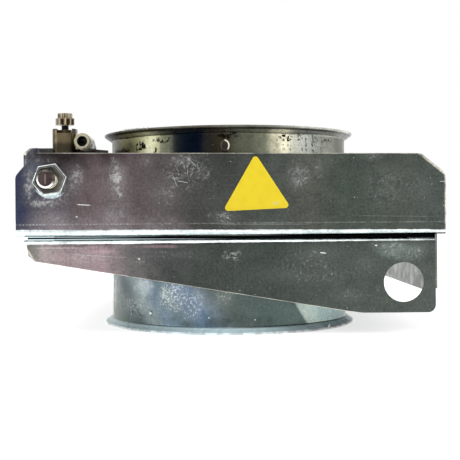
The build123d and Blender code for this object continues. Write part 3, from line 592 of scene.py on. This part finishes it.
def makePlastic(name, base, shade, roughness, mottle, extra):
    made, tree, shader, place, axes = startMaterial(name, 0.0, roughness)
    coarse = grain(tree, place, 190, 4, 0.6)
    fine = grain(tree, place, 1800, 2)
    colour = tint(tree, window(tree, coarse, 0.4, 0.75, 0.0, mottle), base, shade)
    colour = extra(tree, place, axes, coarse, colour)
    rough = window(tree, coarse, 0.3, 0.7, roughness - 0.05, roughness + 0.12)
    finishMaterial(tree, shader, colour, rough, fine, 0.06, 0.0002)
    return made


# Front nut: dull dark faces, darker towards the left, with painted highlights along its six edges, widest
# below, and a fainter one just inside them
def nutEdges(tree, place, axes, coarse, colour):
    dx, dz, _ = fromCylinderAxis(tree, axes)
    reach = 0.0
    for index in range(3):
        angle = math.radians(gate["nutTurn"] + 30 + 60 * index)
        across = calc(tree, "MULTIPLY_ADD", dx, math.cos(angle), times(tree, dz, math.sin(angle)))
        reach = calc(tree, "MAXIMUM", calc(tree, "ABSOLUTE", across), reach)
    width = span(tree, dz, -5.0, -7.6, 0.32 * mm, 1.0 * mm)
    inward = minus(tree, gate["nutWidth"] / 2 * mm, reach)
    rim = span(tree, minus(tree, inward, width), 0.25, -0.05)
    rim = times(tree, rim, window(tree, coarse, 0.36, 0.54, 0.35, 1.0))
    inner = span(tree, apart(tree, inward, 1.15 * mm), 0.3, 0.1, 0.0, 0.3)
    face = tint(tree, span(tree, dx, 1.0, 6.0), (50, 47, 45), (100, 98, 93))
    face = tint(tree, span(tree, dz, -3.0, -8.0, 0.0, 0.5), face, (84, 84, 84))
    face = tint(tree, window(tree, coarse, 0.5, 0.7, 0.0, 0.6), face, (138, 140, 136))
    face = tint(tree, inner, face, (180, 184, 180))
    atFront = span(tree, axes["Y"], -79.0, -80.5)
    return tint(tree, atFront, colour, tint(tree, rim, face, (232, 240, 238)))


# Stud: dark end face with a paler streak, a painted highlight on the lower part of its chamfer, and along
# its flank painted shade in the thread grooves between painted highlights on the crests
def studEnd(tree, place, axes, coarse, colour):
    dx, dz, radius = fromCylinderAxis(tree, axes)
    turn = calc(tree, "DIVIDE", calc(tree, "ARCTAN2", dx, dz), 2 * math.pi)
    phase = calc(tree, "FRACT", plus(tree, calc(tree, "DIVIDE", axes["Y"], -1.25 * mm), turn))
    groove = window(tree, apart(tree, phase, 0.5), 0.32, 0.14)
    flank = tint(tree, times(tree, groove, 0.92), (238, 232, 212), (36, 31, 26))
    face = tint(tree, window(tree, coarse, 0.3, 0.7), (56, 45, 46), (78, 66, 66))
    streak = span(tree, calc(tree, "ABSOLUTE", dx), 0.6, 0.2, 0.0, 0.6)
    face = tint(tree, times(tree, streak, span(tree, radius, 3.2, 2.2)), face, (138, 124, 120))
    low = span(tree, minus(tree, times(tree, dx, -0.4), dz), -1.2, 2.6)
    bevel = tint(tree, low, (64, 58, 57), (238, 240, 236))
    end = tint(tree, span(tree, radius, 3.8, 4.1), face, bevel)
    stud = tint(tree, span(tree, axes["Y"], gate["studEnd"] + 1.3, gate["studEnd"] + 1.0), flank, end)
    return tint(tree, span(tree, axes["Y"], -79.0, -80.0), colour, stud)


# Regulator block: brownish and dull, darker below in a painted reflection of the leg, with painted shade
# along its top and its two upright corners
def blockShade(tree, place, axes, coarse, colour):
    level = wavy(tree, axes["Z"], coarse, 4 * mm)
    low = span(tree, level, 114.4, 111.6, 0.0, 0.75)
    colour = tint(tree, low, colour, (44, 40, 33))
    crest = span(tree, axes["Z"], 120.9, 121.5, 0.0, 0.8)
    corners = apart(tree, axes["X"], -102.4 * mm)
    crest = calc(tree, "MAXIMUM", crest, span(tree, corners, 5.0, 6.2, 0.0, 0.6))
    return tint(tree, crest, colour, (40, 32, 24))


# Painted highlights and painted shade on flats or ribs round an upright axis, as seen from the front
def facets(tree, axes, count, sharp, dark, light, colour, amount):
    dx = minus(tree, axes["X"], gate["cylinderX"] * mm)
    dy = minus(tree, axes["Y"], gate["regulatorY"] * mm)
    wave = calc(tree, "SINE", times(tree, calc(tree, "ARCTAN2", dx, dy), count))
    colour = tint(tree, times(tree, window(tree, wave, 0.3 - sharp, -0.3), amount), colour, dark)
    return tint(tree, times(tree, window(tree, wave, 0.75, 1.0), amount), colour, light)


def knobShade(tree, place, axes, coarse, colour):
    # needle knob: painted highlights and shade on its ribs, a painted highlight round its crown, and its
    # stem dark
    colour = facets(tree, axes, 18, 0.0, (66, 58, 46), (206, 196, 172), colour, 0.75)
    crown = span(tree, axes["Z"], 130.6, 131.4, 0.0, 0.5)
    colour = tint(tree, crown, colour, (176, 166, 146))
    stem = times(tree, span(tree, axes["Z"], 124.2, 123.9), span(tree, axes["Y"], *gate["rearLimit"]))
    return tint(tree, stem, colour, (22, 20, 16))


def lockNutShade(tree, place, axes, coarse, colour):
    # lock nut: painted highlights and shade on its flats, and a painted highlight round its top
    colour = facets(tree, axes, 9, 0.2, (34, 27, 20), (212, 196, 160), colour, 0.95)
    return tint(tree, span(tree, axes["Z"], 127.6, 128.4, 0.0, 0.5), colour, (150, 138, 116))


# Tube port: a painted highlight on its flank towards the right, and painted shade in its bore, nearly
# black
def portShade(tree, place, axes, coarse, colour):
    pale = times(tree, span(tree, axes["Y"], -42.2, -40), span(tree, axes["X"], -90, -86))
    colour = tint(
        tree, times(tree, pale, span(tree, axes["Y"], *gate["rearLimit"])), colour, (255, 255, 252)
    )
    return portBore(tree, place, axes, coarse, colour)


def portBore(tree, place, axes, coarse, colour):
    portX, portZ = gate["portAxis"]
    dx = minus(tree, axes["X"], portX * mm)
    dz = minus(tree, axes["Z"], portZ * mm)
    squares = squareSum(tree, dx, dz)
    inside = times(
        tree, window(tree, squares, (3.3 * mm) ** 2, (3.0 * mm) ** 2),
        span(tree, axes["Y"], *gate["rearLimit"]),
    )
    return tint(tree, inside, colour, (10, 9, 6))


def bracketShade(tree, place, axes, coarse, colour):
    colour = tint(tree, span(tree, axes["X"], -104, -84), colour, (52, 38, 33))
    dusty = window(tree, grain(tree, place, 260, 4, 0.7), 0.4, 0.62)
    sideTone = tint(tree, dusty, (98, 100, 112), (158, 160, 172))
    colour = tint(tree, span(tree, axes["X"], -118.5, -119.8), colour, sideTone)
    outerTone = tint(tree, dusty, (56, 58, 72), (98, 100, 112))
    colour = tint(tree, span(tree, axes["X"], -120.4, -120.8), colour, outerTone)
    # painted highlight on the front top corner
    corner = patch(tree, place, (-121, -56, 105.4), (3, 4, 1.6), None)
    return tint(tree, window(tree, corner, 0.0, 0.5), colour, (236, 232, 210))


# Pressed mark in the upper collar: painted shade inside, with a painted highlight as a crescent at its
# right edge
def dimpleShade(tree, place, axes, coarse, colour):
    ex = calc(tree, "DIVIDE", minus(tree, axes["X"], -2.9 * mm), 2.85 * mm)
    ez = calc(tree, "DIVIDE", minus(tree, axes["Z"], 107.8 * mm), 3.9 * mm)
    squares = squareSum(tree, ex, ez)
    colour = tint(tree, window(tree, squares, 0.62, 0.42, 0.0, 0.95), colour, (26, 21, 13))
    right = window(tree, calc(tree, "MULTIPLY_ADD", ez, 0.45, ex), 0.10, 0.5)
    band = times(tree, window(tree, squares, 0.36, 0.50), window(tree, squares, 1.0, 0.86), right)
    return tint(tree, band, colour, (236, 232, 208))


aluminium = dict(
    base=(140, 140, 138), dark=(84, 80, 76), light=(178, 178, 176), roughness=0.3, brushed=(40, 1400, 40)
)
metals = {
    "studNut": dict(
        base=(120, 122, 118), dark=(84, 82, 76), light=(168, 170, 166), roughness=0.28, extra=nutEdges
    ),
    "zincParts": dict(base=(150, 152, 148), dark=(90, 88, 80), light=(190, 192, 188), roughness=0.32),
    "turnedAluminium": aluminium,
    "capCover": dict(aluminium, extra=studEnd),
    "barrelSteel": dict(
        base=(132, 132, 132), dark=(84, 82, 80), light=(172, 174, 174), roughness=0.24,
        brushed=(900, 12, 900),
    ),
    "chromedRod": dict(
        base=(200, 201, 203), dark=(130, 130, 132), light=(222, 224, 226), roughness=0.1,
        brushed=(20, 900, 20), grime=0.1,
    ),
    "bronzeBush": dict(base=(150, 112, 66), dark=(88, 62, 36), light=(182, 142, 90), roughness=0.42),
    "nickelBlock": dict(
        base=(96, 87, 66), dark=(62, 54, 42), light=(122, 112, 88), roughness=0.3, brushed=(120, 120, 60),
        grime=0.6, extra=blockShade,
    ),
    "nickelDark": dict(
        base=(78, 64, 51), dark=(30, 24, 18), light=(120, 104, 84), roughness=0.32,
        brushed=(300, 300, 60), grime=0.7,
    ),
    "lockNut": dict(
        base=(100, 84, 68), dark=(56, 42, 32), light=(128, 114, 94), roughness=0.28,
        brushed=(160, 160, 90), grime=0.5, extra=lockNutShade,
    ),
    "knobNickel": dict(
        base=(124, 114, 95), dark=(56, 48, 38), light=(178, 168, 146), roughness=0.34,
        brushed=(500, 500, 60), grime=0.6, extra=knobShade,
    ),
    "bracketSheet": dict(
        base=(46, 46, 46), dark=(38, 30, 27), light=(66, 64, 64), roughness=0.34, brushed=(20, 20, 300),
        grime=0.6, extra=bracketShade, metallic=0.15,
    ),
    "dimple": dict(
        base=(74, 70, 56), dark=(40, 34, 22), light=(92, 86, 70), roughness=0.34, grime=0.7,
        extra=dimpleShade, metallic=0.6,
    ),
}
for name, settings in metals.items():
    finishes[name] = makeMetal(name, **settings)
finishes["ivory"] = makePlastic("ivory", (198, 191, 166), (156, 148, 122), 0.34, 0.5, portShade)
finishes["blackRubber"] = makePlastic("blackRubber", (26, 26, 26), (44, 43, 41), 0.62, 0.5, portBore)
print("metal and plastic finishes made")

nodeFinish = {
    "upper_housing": "upperSheet", "lower_housing": "lowerSheet", "upper_collar": "upperCollar",
    "lower_collar": "lowerCollar", "left_guide_strip": "innerSheet", "right_guide_strip": "innerSheet",
    "side_strip": "sideSheet", "slide_blade": "innerSheet", "cylinder_bracket": "bracketSheet",
    "stud_nut": "studNut", "cylinder_barrel": "barrelSteel", "piston_rod": "chromedRod",
    "rod_bush": "bronzeBush", "cap_end_cover": "capCover", "rod_end_cover": "turnedAluminium",
    "piston": "turnedAluminium", "rod_wiper": "blackRubber", "bumpers": "blackRubber",
    "piston_seals": "blackRubber",
}
regulatorFinish = {
    "port_bolt": "nickelDark", "regulator_body": "nickelBlock", "gland_nut": "nickelDark",
    "needle_screw": "knobNickel", "lock_nut": "lockNut", "port_elbow": "ivory", "release_collet": "ivory",
    "tube_seal": "blackRubber",
}
for end in ("cap", "rod"):
    for piece, finish in regulatorFinish.items():
        nodeFinish[f"{end}_{piece}"] = finish
for name, node in nodes.items():
    node.data.materials.clear()
    node.data.materials.append(finishes[nodeFinish.get(name, "zincParts")])
print("CAD pieces finished")


# Added pieces
def makePiece(name, mesh, body, finish):
    piece = bpy.data.objects.new(name, mesh)
    bpy.context.scene.collection.objects.link(piece)
    mesh.materials.clear()
    mesh.materials.append(finishes[finish])
    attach(piece, body)


def meshFrom(name, form):
    mesh = bpy.data.meshes.new(name)
    bmesh.ops.recalc_face_normals(form, faces=form.faces)
    form.to_mesh(mesh)
    form.free()
    return mesh


# Point on a tube round the duct's axis, its angle counted from the front
def onTube(radius, angle, level):
    return radius * math.sin(angle) * mm, -radius * math.cos(angle) * mm, level * mm


# Yellow label, its outline drawn round three corner circles
label = {
    "corners": ((-1.4, 72.2), (30.8, 73.6), (14.2, 99.3)), "round": 1.8, "thickness": 0.12, "steps": 8
}


def vinylWear(tree, place, axes, coarse, colour):
    fine = grain(tree, place, 1400, 3)
    colour = tint(tree, window(tree, fine, 0.60, 0.78, 0.0, 0.25), colour, (248, 236, 140))
    nick = patch(tree, place, (5.6, -80, 87.6), (1.6, 3, 1.2), coarse)
    rubbed = patch(tree, place, (25.6, -80, 74.4), (3.4, 3, 1.4), coarse, 0.8)
    scuffed = times(tree, calc(tree, "MAXIMUM", nick, rubbed), window(tree, fine, 0.4, 0.55))
    colour = tint(tree, scuffed, colour, (214, 204, 150))
    # the label darker towards its bottom
    return tint(tree, span(tree, axes["Z"], 74, 70, 0.0, 0.3), colour, (206, 178, 16))


finishes["yellowVinyl"] = makePlastic("yellowVinyl", (232, 206, 8), (220, 190, 8), 0.36, 0.4, vinylWear)


def makeLabel():
    corners = [Vector(corner) for corner in label["corners"]]
    outline = []
    for index, middle in enumerate(corners):
        before = middle - corners[index - 1]
        after = corners[(index + 1) % 3] - middle
        start = math.atan2(-before.x, before.y)
        sweep = (math.atan2(-after.x, after.y) - start) % (2 * math.pi)
        for step in range(label["steps"] + 1):
            angle = start + sweep * step / label["steps"]
            outline.append(middle + label["round"] * Vector((math.cos(angle), math.sin(angle))))
    form = bmesh.new()
    seat = gate["frontFace"] + 0.01
    back, front = (
        [form.verts.new((p.x * mm, depth * mm, p.y * mm)) for p in outline]
        for depth in (seat, seat - label["thickness"])
    )
    form.faces.new(back)
    form.faces.new(front)
    for index in range(len(outline)):
        form.faces.new((back[index - 1], front[index - 1], front[index], back[index]))
    makePiece("front_label", meshFrom("front_label", form), "housing", "yellowVinyl")


makeLabel()
print("label made")


# Small pressed mark on a collar: a raised oval edge round a shallow dish, wrapped on the tube
marks = (  # name, angle from the front, level, half width, half height, rise, finish
    ("upper_collar_mark", -2.2, 107.8, 2.85, 3.9, 0.6, "dimple"),
    ("lower_collar_dent", -39.0, 10.6, 1.5, 1.7, 0.45, "lowerCollar"),
)
dish = {"rings": 7, "sides": 28, "floor": 0.12, "crest": 0.72, "spread": 0.17, "sunk": -0.15}


# Height of the mark's surface at a share of the way from its middle to its edge
def dishHeight(share, rise):
    bump = math.exp(-((share - dish["crest"]) / dish["spread"]) ** 2)
    return rise * (dish["floor"] + (1 - dish["floor"]) * bump)


def makeMark(name, turn, level, halfWidth, halfHeight, rise, finish):
    rings, sides = dish["rings"], dish["sides"]
    form = bmesh.new()
    rows = []
    for ring in range(1, rings + 1):
        share = ring / rings
        height = dishHeight(share, rise) if ring < rings else dish["sunk"]
        row = []
        for side in range(sides):
            angle = 2 * math.pi * side / sides
            across = share * halfWidth * math.cos(angle)
            radius = gate["collarRadius"] + height
            place = math.radians(turn) + across / gate["collarRadius"]
            up = level + share * halfHeight * math.sin(angle)
            row.append(form.verts.new(onTube(radius, place, up)))
        rows.append(row)
    place, radius = math.radians(turn), gate["collarRadius"] + dishHeight(0, rise)
    middle = form.verts.new(onTube(radius, place, level))
    for side in range(sides):
        form.faces.new((middle, rows[0][side], rows[0][(side + 1) % sides]))
    for inner, outer in zip(rows, rows[1:]):
        for side in range(sides):
            after = (side + 1) % sides
            form.faces.new((inner[side], outer[side], outer[after], inner[after]))
    form.faces.new(rows[-1])
    mesh = meshFrom(name, form)
    mesh.shade_smooth()
    makePiece(name, mesh, "housing", finish)


for settings in marks:
    makeMark(*settings)
print("collar marks made")


# Tag of torn zinc that curls out of the lower rim
tag = {
    "turn": 47.0, "width": 2.6, "length": 3.4, "thickness": 0.25, "steps": 6,
    "radius": 79.3, "lean": 1.1, "foot": 0.9, "droop": 0.35, "taper": 0.65,
}


def makeTag():
    form = bmesh.new()
    rows = []
    for step in range(tag["steps"] + 1):
        share = step / tag["steps"]
        out = tag["radius"] + tag["lean"] * share
        up = tag["foot"] + tag["length"] * share * (1 - tag["droop"] * share)
        half = tag["width"] / 2 * (1 - tag["taper"] * share)
        row = []
        for depth in (0, -tag["thickness"]):
            for side in (-1, 1):
                angle = math.radians(tag["turn"]) + side * half / out
                radius = out + depth
                row.append(form.verts.new(onTube(radius, angle, up)))
        rows.append(row)
    for low, high in zip(rows, rows[1:]):
        for a, b in ((0, 1), (1, 3), (3, 2), (2, 0)):
            form.faces.new((low[a], low[b], high[b], high[a]))
    for row in (rows[0], rows[-1]):
        form.faces.new((row[0], row[1], row[3], row[2]))
    makePiece(
        "lower_rim_tag", meshFrom("lower_rim_tag", form), "housing", "zincParts"
    )


makeTag()
print("rim tag made")


# Repeated forms, grown by geometry nodes and kept as plain meshes
def startTree(name, sockets):
    tree = bpy.data.node_groups.new(name, "GeometryNodeTree")
    tree.interface.new_socket("Geometry", in_out="INPUT", socket_type="NodeSocketGeometry")
    for label, kind in sockets:
        tree.interface.new_socket(label, in_out="INPUT", socket_type="NodeSocket" + kind)
    tree.interface.new_socket("Geometry", in_out="OUTPUT", socket_type="NodeSocketGeometry")
    return tree, tree.nodes.new("NodeGroupInput").outputs


def endTree(tree, geometry, finish):
    solid = put(tree, "GeometryNodeRealizeInstances", {"Geometry": geometry})
    painted = put(tree, "GeometryNodeSetMaterial", {"Geometry": solid.outputs[0], "Material": finish})
    put(tree, "NodeGroupOutput", {0: painted.outputs[0]})
    return tree


def grow(tree, name, values):
    holder = bpy.data.objects.new(name, bpy.data.meshes.new(name))
    bpy.context.scene.collection.objects.link(holder)
    modifier = holder.modifiers.new("grow", "NODES")
    modifier.node_group = tree
    for item in tree.interface.items_tree:
        if item.in_out == "INPUT" and item.name in values:
            modifier[item.identifier] = values[item.name]
    graph = bpy.context.evaluated_depsgraph_get()
    mesh = bpy.data.meshes.new_from_object(holder.evaluated_get(graph))
    holder.modifiers.clear()
    bpy.data.objects.remove(holder)
    mesh.name = name
    return mesh


# A thread's ridge: a small profile swept along a spiral
def threadTree():
    tree, given = startTree("threadRidge", (
        ("Radius", "Float"), ("Pitch", "Float"), ("Turns", "Float"), ("Ridge", "Float"),
        ("Finish", "Material"),
    ))
    spiral = put(tree, "GeometryNodeCurveSpiral", {
        "Resolution": 40, "Rotations": given["Turns"], "Start Radius": given["Radius"],
        "End Radius": given["Radius"], "Height": times(tree, given["Pitch"], given["Turns"]),
    })
    profile = put(tree, "GeometryNodeCurvePrimitiveCircle", {"Resolution": 4, "Radius": given["Ridge"]})
    ridge = put(tree, "GeometryNodeCurveToMesh", {
        "Curve": spiral.outputs[0], "Profile Curve": profile.outputs[0], "Fill Caps": True,
    })
    return endTree(tree, ridge.outputs[0], given["Finish"])


ridgeShare = 0.24
# name, body, finish, slot, radius, pitch, turns, start, axis
threads = (
    ("stud_thread", "housing", "capCover", "turned_aluminium", 4.86, 1.25, 8, (-101.5, -96.8, 88.5), "Y"),
    ("rod_thread", "blade", "chromedRod", "chromed_rod", 4.86, 1.25, 4, (-101.5, 205.2, 88.5), "Y"),
    (
        "cap_needle_thread", "cap_needle", "knobNickel", "nickelled_brass",
        2.12, 0.6, 3, (-101.5, -28.5, 122.5), "Z",
    ),
)
winding = threadTree()
for name, body, finish, slotName, radius, pitch, turns, start, axis in threads:
    mesh = grow(winding, name, {
        "Radius": radius * mm, "Pitch": pitch * mm, "Turns": float(turns),
        "Ridge": pitch * ridgeShare * mm, "Finish": finishes[finish],
    })
    if axis == "Y":
        mesh.transform(Matrix.Rotation(-math.pi / 2, 4, "X"))
    mesh.transform(Matrix.Translation([v * mm for v in start]))
    makePiece(name, mesh, body, finish)
print("threads made")


# Weld spots round a collar's foot, and burrs on a stretch of the upper rim
def spotTree():
    tree, given = startTree("spotRing", (
        ("Count", "Int"), ("Radius", "Float"), ("Start", "Float"), ("Sweep", "Float"), ("Size", "Float"),
        ("Flatness", "Float"), ("Spread", "Float"), ("Seed", "Int"), ("Finish", "Material"),
    ))
    arc = put(tree, "GeometryNodeCurveArc", {
        "Resolution": 200, "Radius": given["Radius"], "Start Angle": given["Start"],
        "Sweep Angle": given["Sweep"],
    })
    points = put(
        tree, "GeometryNodeCurveToPoints", {"Curve": arc.outputs[0], "Count": given["Count"]},
        mode="COUNT",
    )
    bead = put(tree, "GeometryNodeMeshIcoSphere", {"Radius": given["Size"], "Subdivisions": 2})
    drawn = put(tree, "FunctionNodeRandomValue", {
        2: minus(tree, 1.0, given["Spread"]), 3: plus(tree, 1.0, given["Spread"]), "Seed": given["Seed"],
    }, data_type="FLOAT").outputs[1]
    size = put(
        tree, "ShaderNodeCombineXYZ", {0: drawn, 1: drawn, 2: times(tree, drawn, given["Flatness"])}
    )
    placed = put(tree, "GeometryNodeInstanceOnPoints", {
        "Points": points.outputs[0], "Instance": bead.outputs[0], "Scale": size.outputs[0],
    })
    return endTree(tree, placed.outputs[0], given["Finish"])


weld = dict(Count=25, Radius=75.95, Sweep=360.0, Size=0.75, Flatness=0.5, Spread=0.15)
spots = {
    "upper_collar_welds": dict(weld, Start=0.0, Seed=3, level=59.05),
    "lower_collar_welds": dict(weld, Start=7.0, Seed=8, level=51.95),
    "upper_rim_burrs": dict(
        Count=15, Radius=79.2, Start=-143.0, Sweep=16.0, Size=0.55, Flatness=1.1, Spread=0.6, Seed=5,
        level=119.15,
    ),
}
ringTree = spotTree()
for name, settings in spots.items():
    values = {key: value for key, value in settings.items() if key != "level"}
    for key in ("Radius", "Size"):
        values[key] *= mm
    for key in ("Start", "Sweep"):
        values[key] = math.radians(values[key])
    values["Finish"] = finishes["zincParts"]
    mesh = grow(ringTree, name, values)
    mesh.transform(Matrix.Translation((0, 0, settings["level"] * mm)))
    makePiece(name, mesh, "housing", "zincParts")
print("weld spots and burrs made")


# Floor, light and camera
studio = {
    "ambient": 0.62, "floor": (244, 244, 244), "floorHalf": 8.0,
    "near": 0.15, "far": 0.8, "nearLift": 0.62, "farLift": 0.66,
}
lamps = (  # name, place, aim, size and power
    ("softboxTop", (-0.25, -0.35, 1.1), (0, 0.02, 0.08), (1.0, 0.7), 7.0),
    ("softboxLeft", (-1.1, -0.7, 0.55), (0, 0, 0.08), (0.5, 0.9), 4.0),
    ("softboxRight", (1.2, -0.4, 0.6), (0, 0, 0.08), (0.5, 0.9), 3.0),
)


def makeFloor():
    mesh = bpy.data.meshes.new("floor")
    half = studio["floorHalf"]
    mesh.from_pydata(
        [(-half, -half, 0), (half, -half, 0), (half, half, 0), (-half, half, 0)], [], [(0, 1, 2, 3)]
    )
    floor = bpy.data.objects.new("floor", mesh)
    bpy.context.scene.collection.objects.link(floor)
    made, tree, shader, place, axes = startMaterial("paleFloor", 0.0, 0.9)
    shader.inputs["Base Color"].default_value = srgb(*studio["floor"])
    shader.inputs["Specular IOR Level"].default_value = 0.0
    ray = put(tree, "ShaderNodeLightPath").outputs
    away = put(tree, "ShaderNodeVectorMath", {0: place}, operation="LENGTH").outputs["Value"]
    lift = window(tree, away, studio["near"], studio["far"], studio["nearLift"], studio["farLift"])
    seen = times(tree, calc(tree, "MAXIMUM", ray["Is Camera Ray"], ray["Is Glossy Ray"]), lift)
    glow = put(tree, "ShaderNodeEmission", {"Color": (1, 1, 1, 1), "Strength": seen})
    both = put(tree, "ShaderNodeAddShader", {0: shader.outputs[0], 1: glow.outputs[0]})
    tree.links.new(both.outputs[0], tree.nodes["Material Output"].inputs["Surface"])
    mesh.materials.append(made)


def makeWorld():
    world = bpy.data.worlds.new("studio")
    bpy.context.scene.world = world
    world.use_nodes = True
    tree = world.node_tree
    tree.nodes.clear()
    ray = put(tree, "ShaderNodeLightPath").outputs
    seen = calc(
        tree, "MAXIMUM", ray["Is Camera Ray"],
        calc(tree, "MAXIMUM", ray["Is Glossy Ray"], ray["Is Transmission Ray"]),
    )
    dim = put(tree, "ShaderNodeBackground", {"Color": (1, 1, 1, 1), "Strength": studio["ambient"]})
    white = put(tree, "ShaderNodeBackground", {"Color": (1, 1, 1, 1), "Strength": 1.0})
    mixed = put(tree, "ShaderNodeMixShader", {0: seen, 1: dim.outputs[0], 2: white.outputs[0]})
    put(tree, "ShaderNodeOutputWorld", {"Surface": mixed.outputs[0]})


def addLamp(name, place, aim, size, power):
    lamp = bpy.data.lights.new(name, "AREA")
    lamp.shape = "RECTANGLE"
    lamp.size, lamp.size_y = size
    lamp.energy = power
    holder = bpy.data.objects.new(name, lamp)
    holder.location = place
    holder.rotation_euler = (Vector(aim) - Vector(place)).to_track_quat("-Z", "Y").to_euler()
    bpy.context.scene.collection.objects.link(holder)


makeFloor()
makeWorld()
for lamp in lamps:
    addLamp(*lamp)

# The frame is shifted so that straight ahead lies at pixel (213, 213) of 460
view = {
    "place": (-10.0, -600.0, 69.3), "lens": 72.0, "sensor": 36.0, "clip": 0.01,
    "shift": (0.0368, -0.0369), "roll": 0.45,
}
camera = bpy.data.objects.new("camera", bpy.data.cameras.new("camera"))
bpy.context.scene.collection.objects.link(camera)
camera.data.lens = view["lens"]
camera.data.sensor_width = view["sensor"]
camera.data.shift_x, camera.data.shift_y = view["shift"]
camera.data.clip_start = view["clip"]
camera.location = [v * mm for v in view["place"]]
upright = Matrix.Rotation(math.pi / 2, 4, "X")
camera.rotation_euler = (upright @ Matrix.Rotation(-math.radians(view["roll"]), 4, "Z")).to_euler()
bpy.context.scene.camera = camera
bpy.context.scene.view_settings.view_transform = "Standard"
print("studio ready")
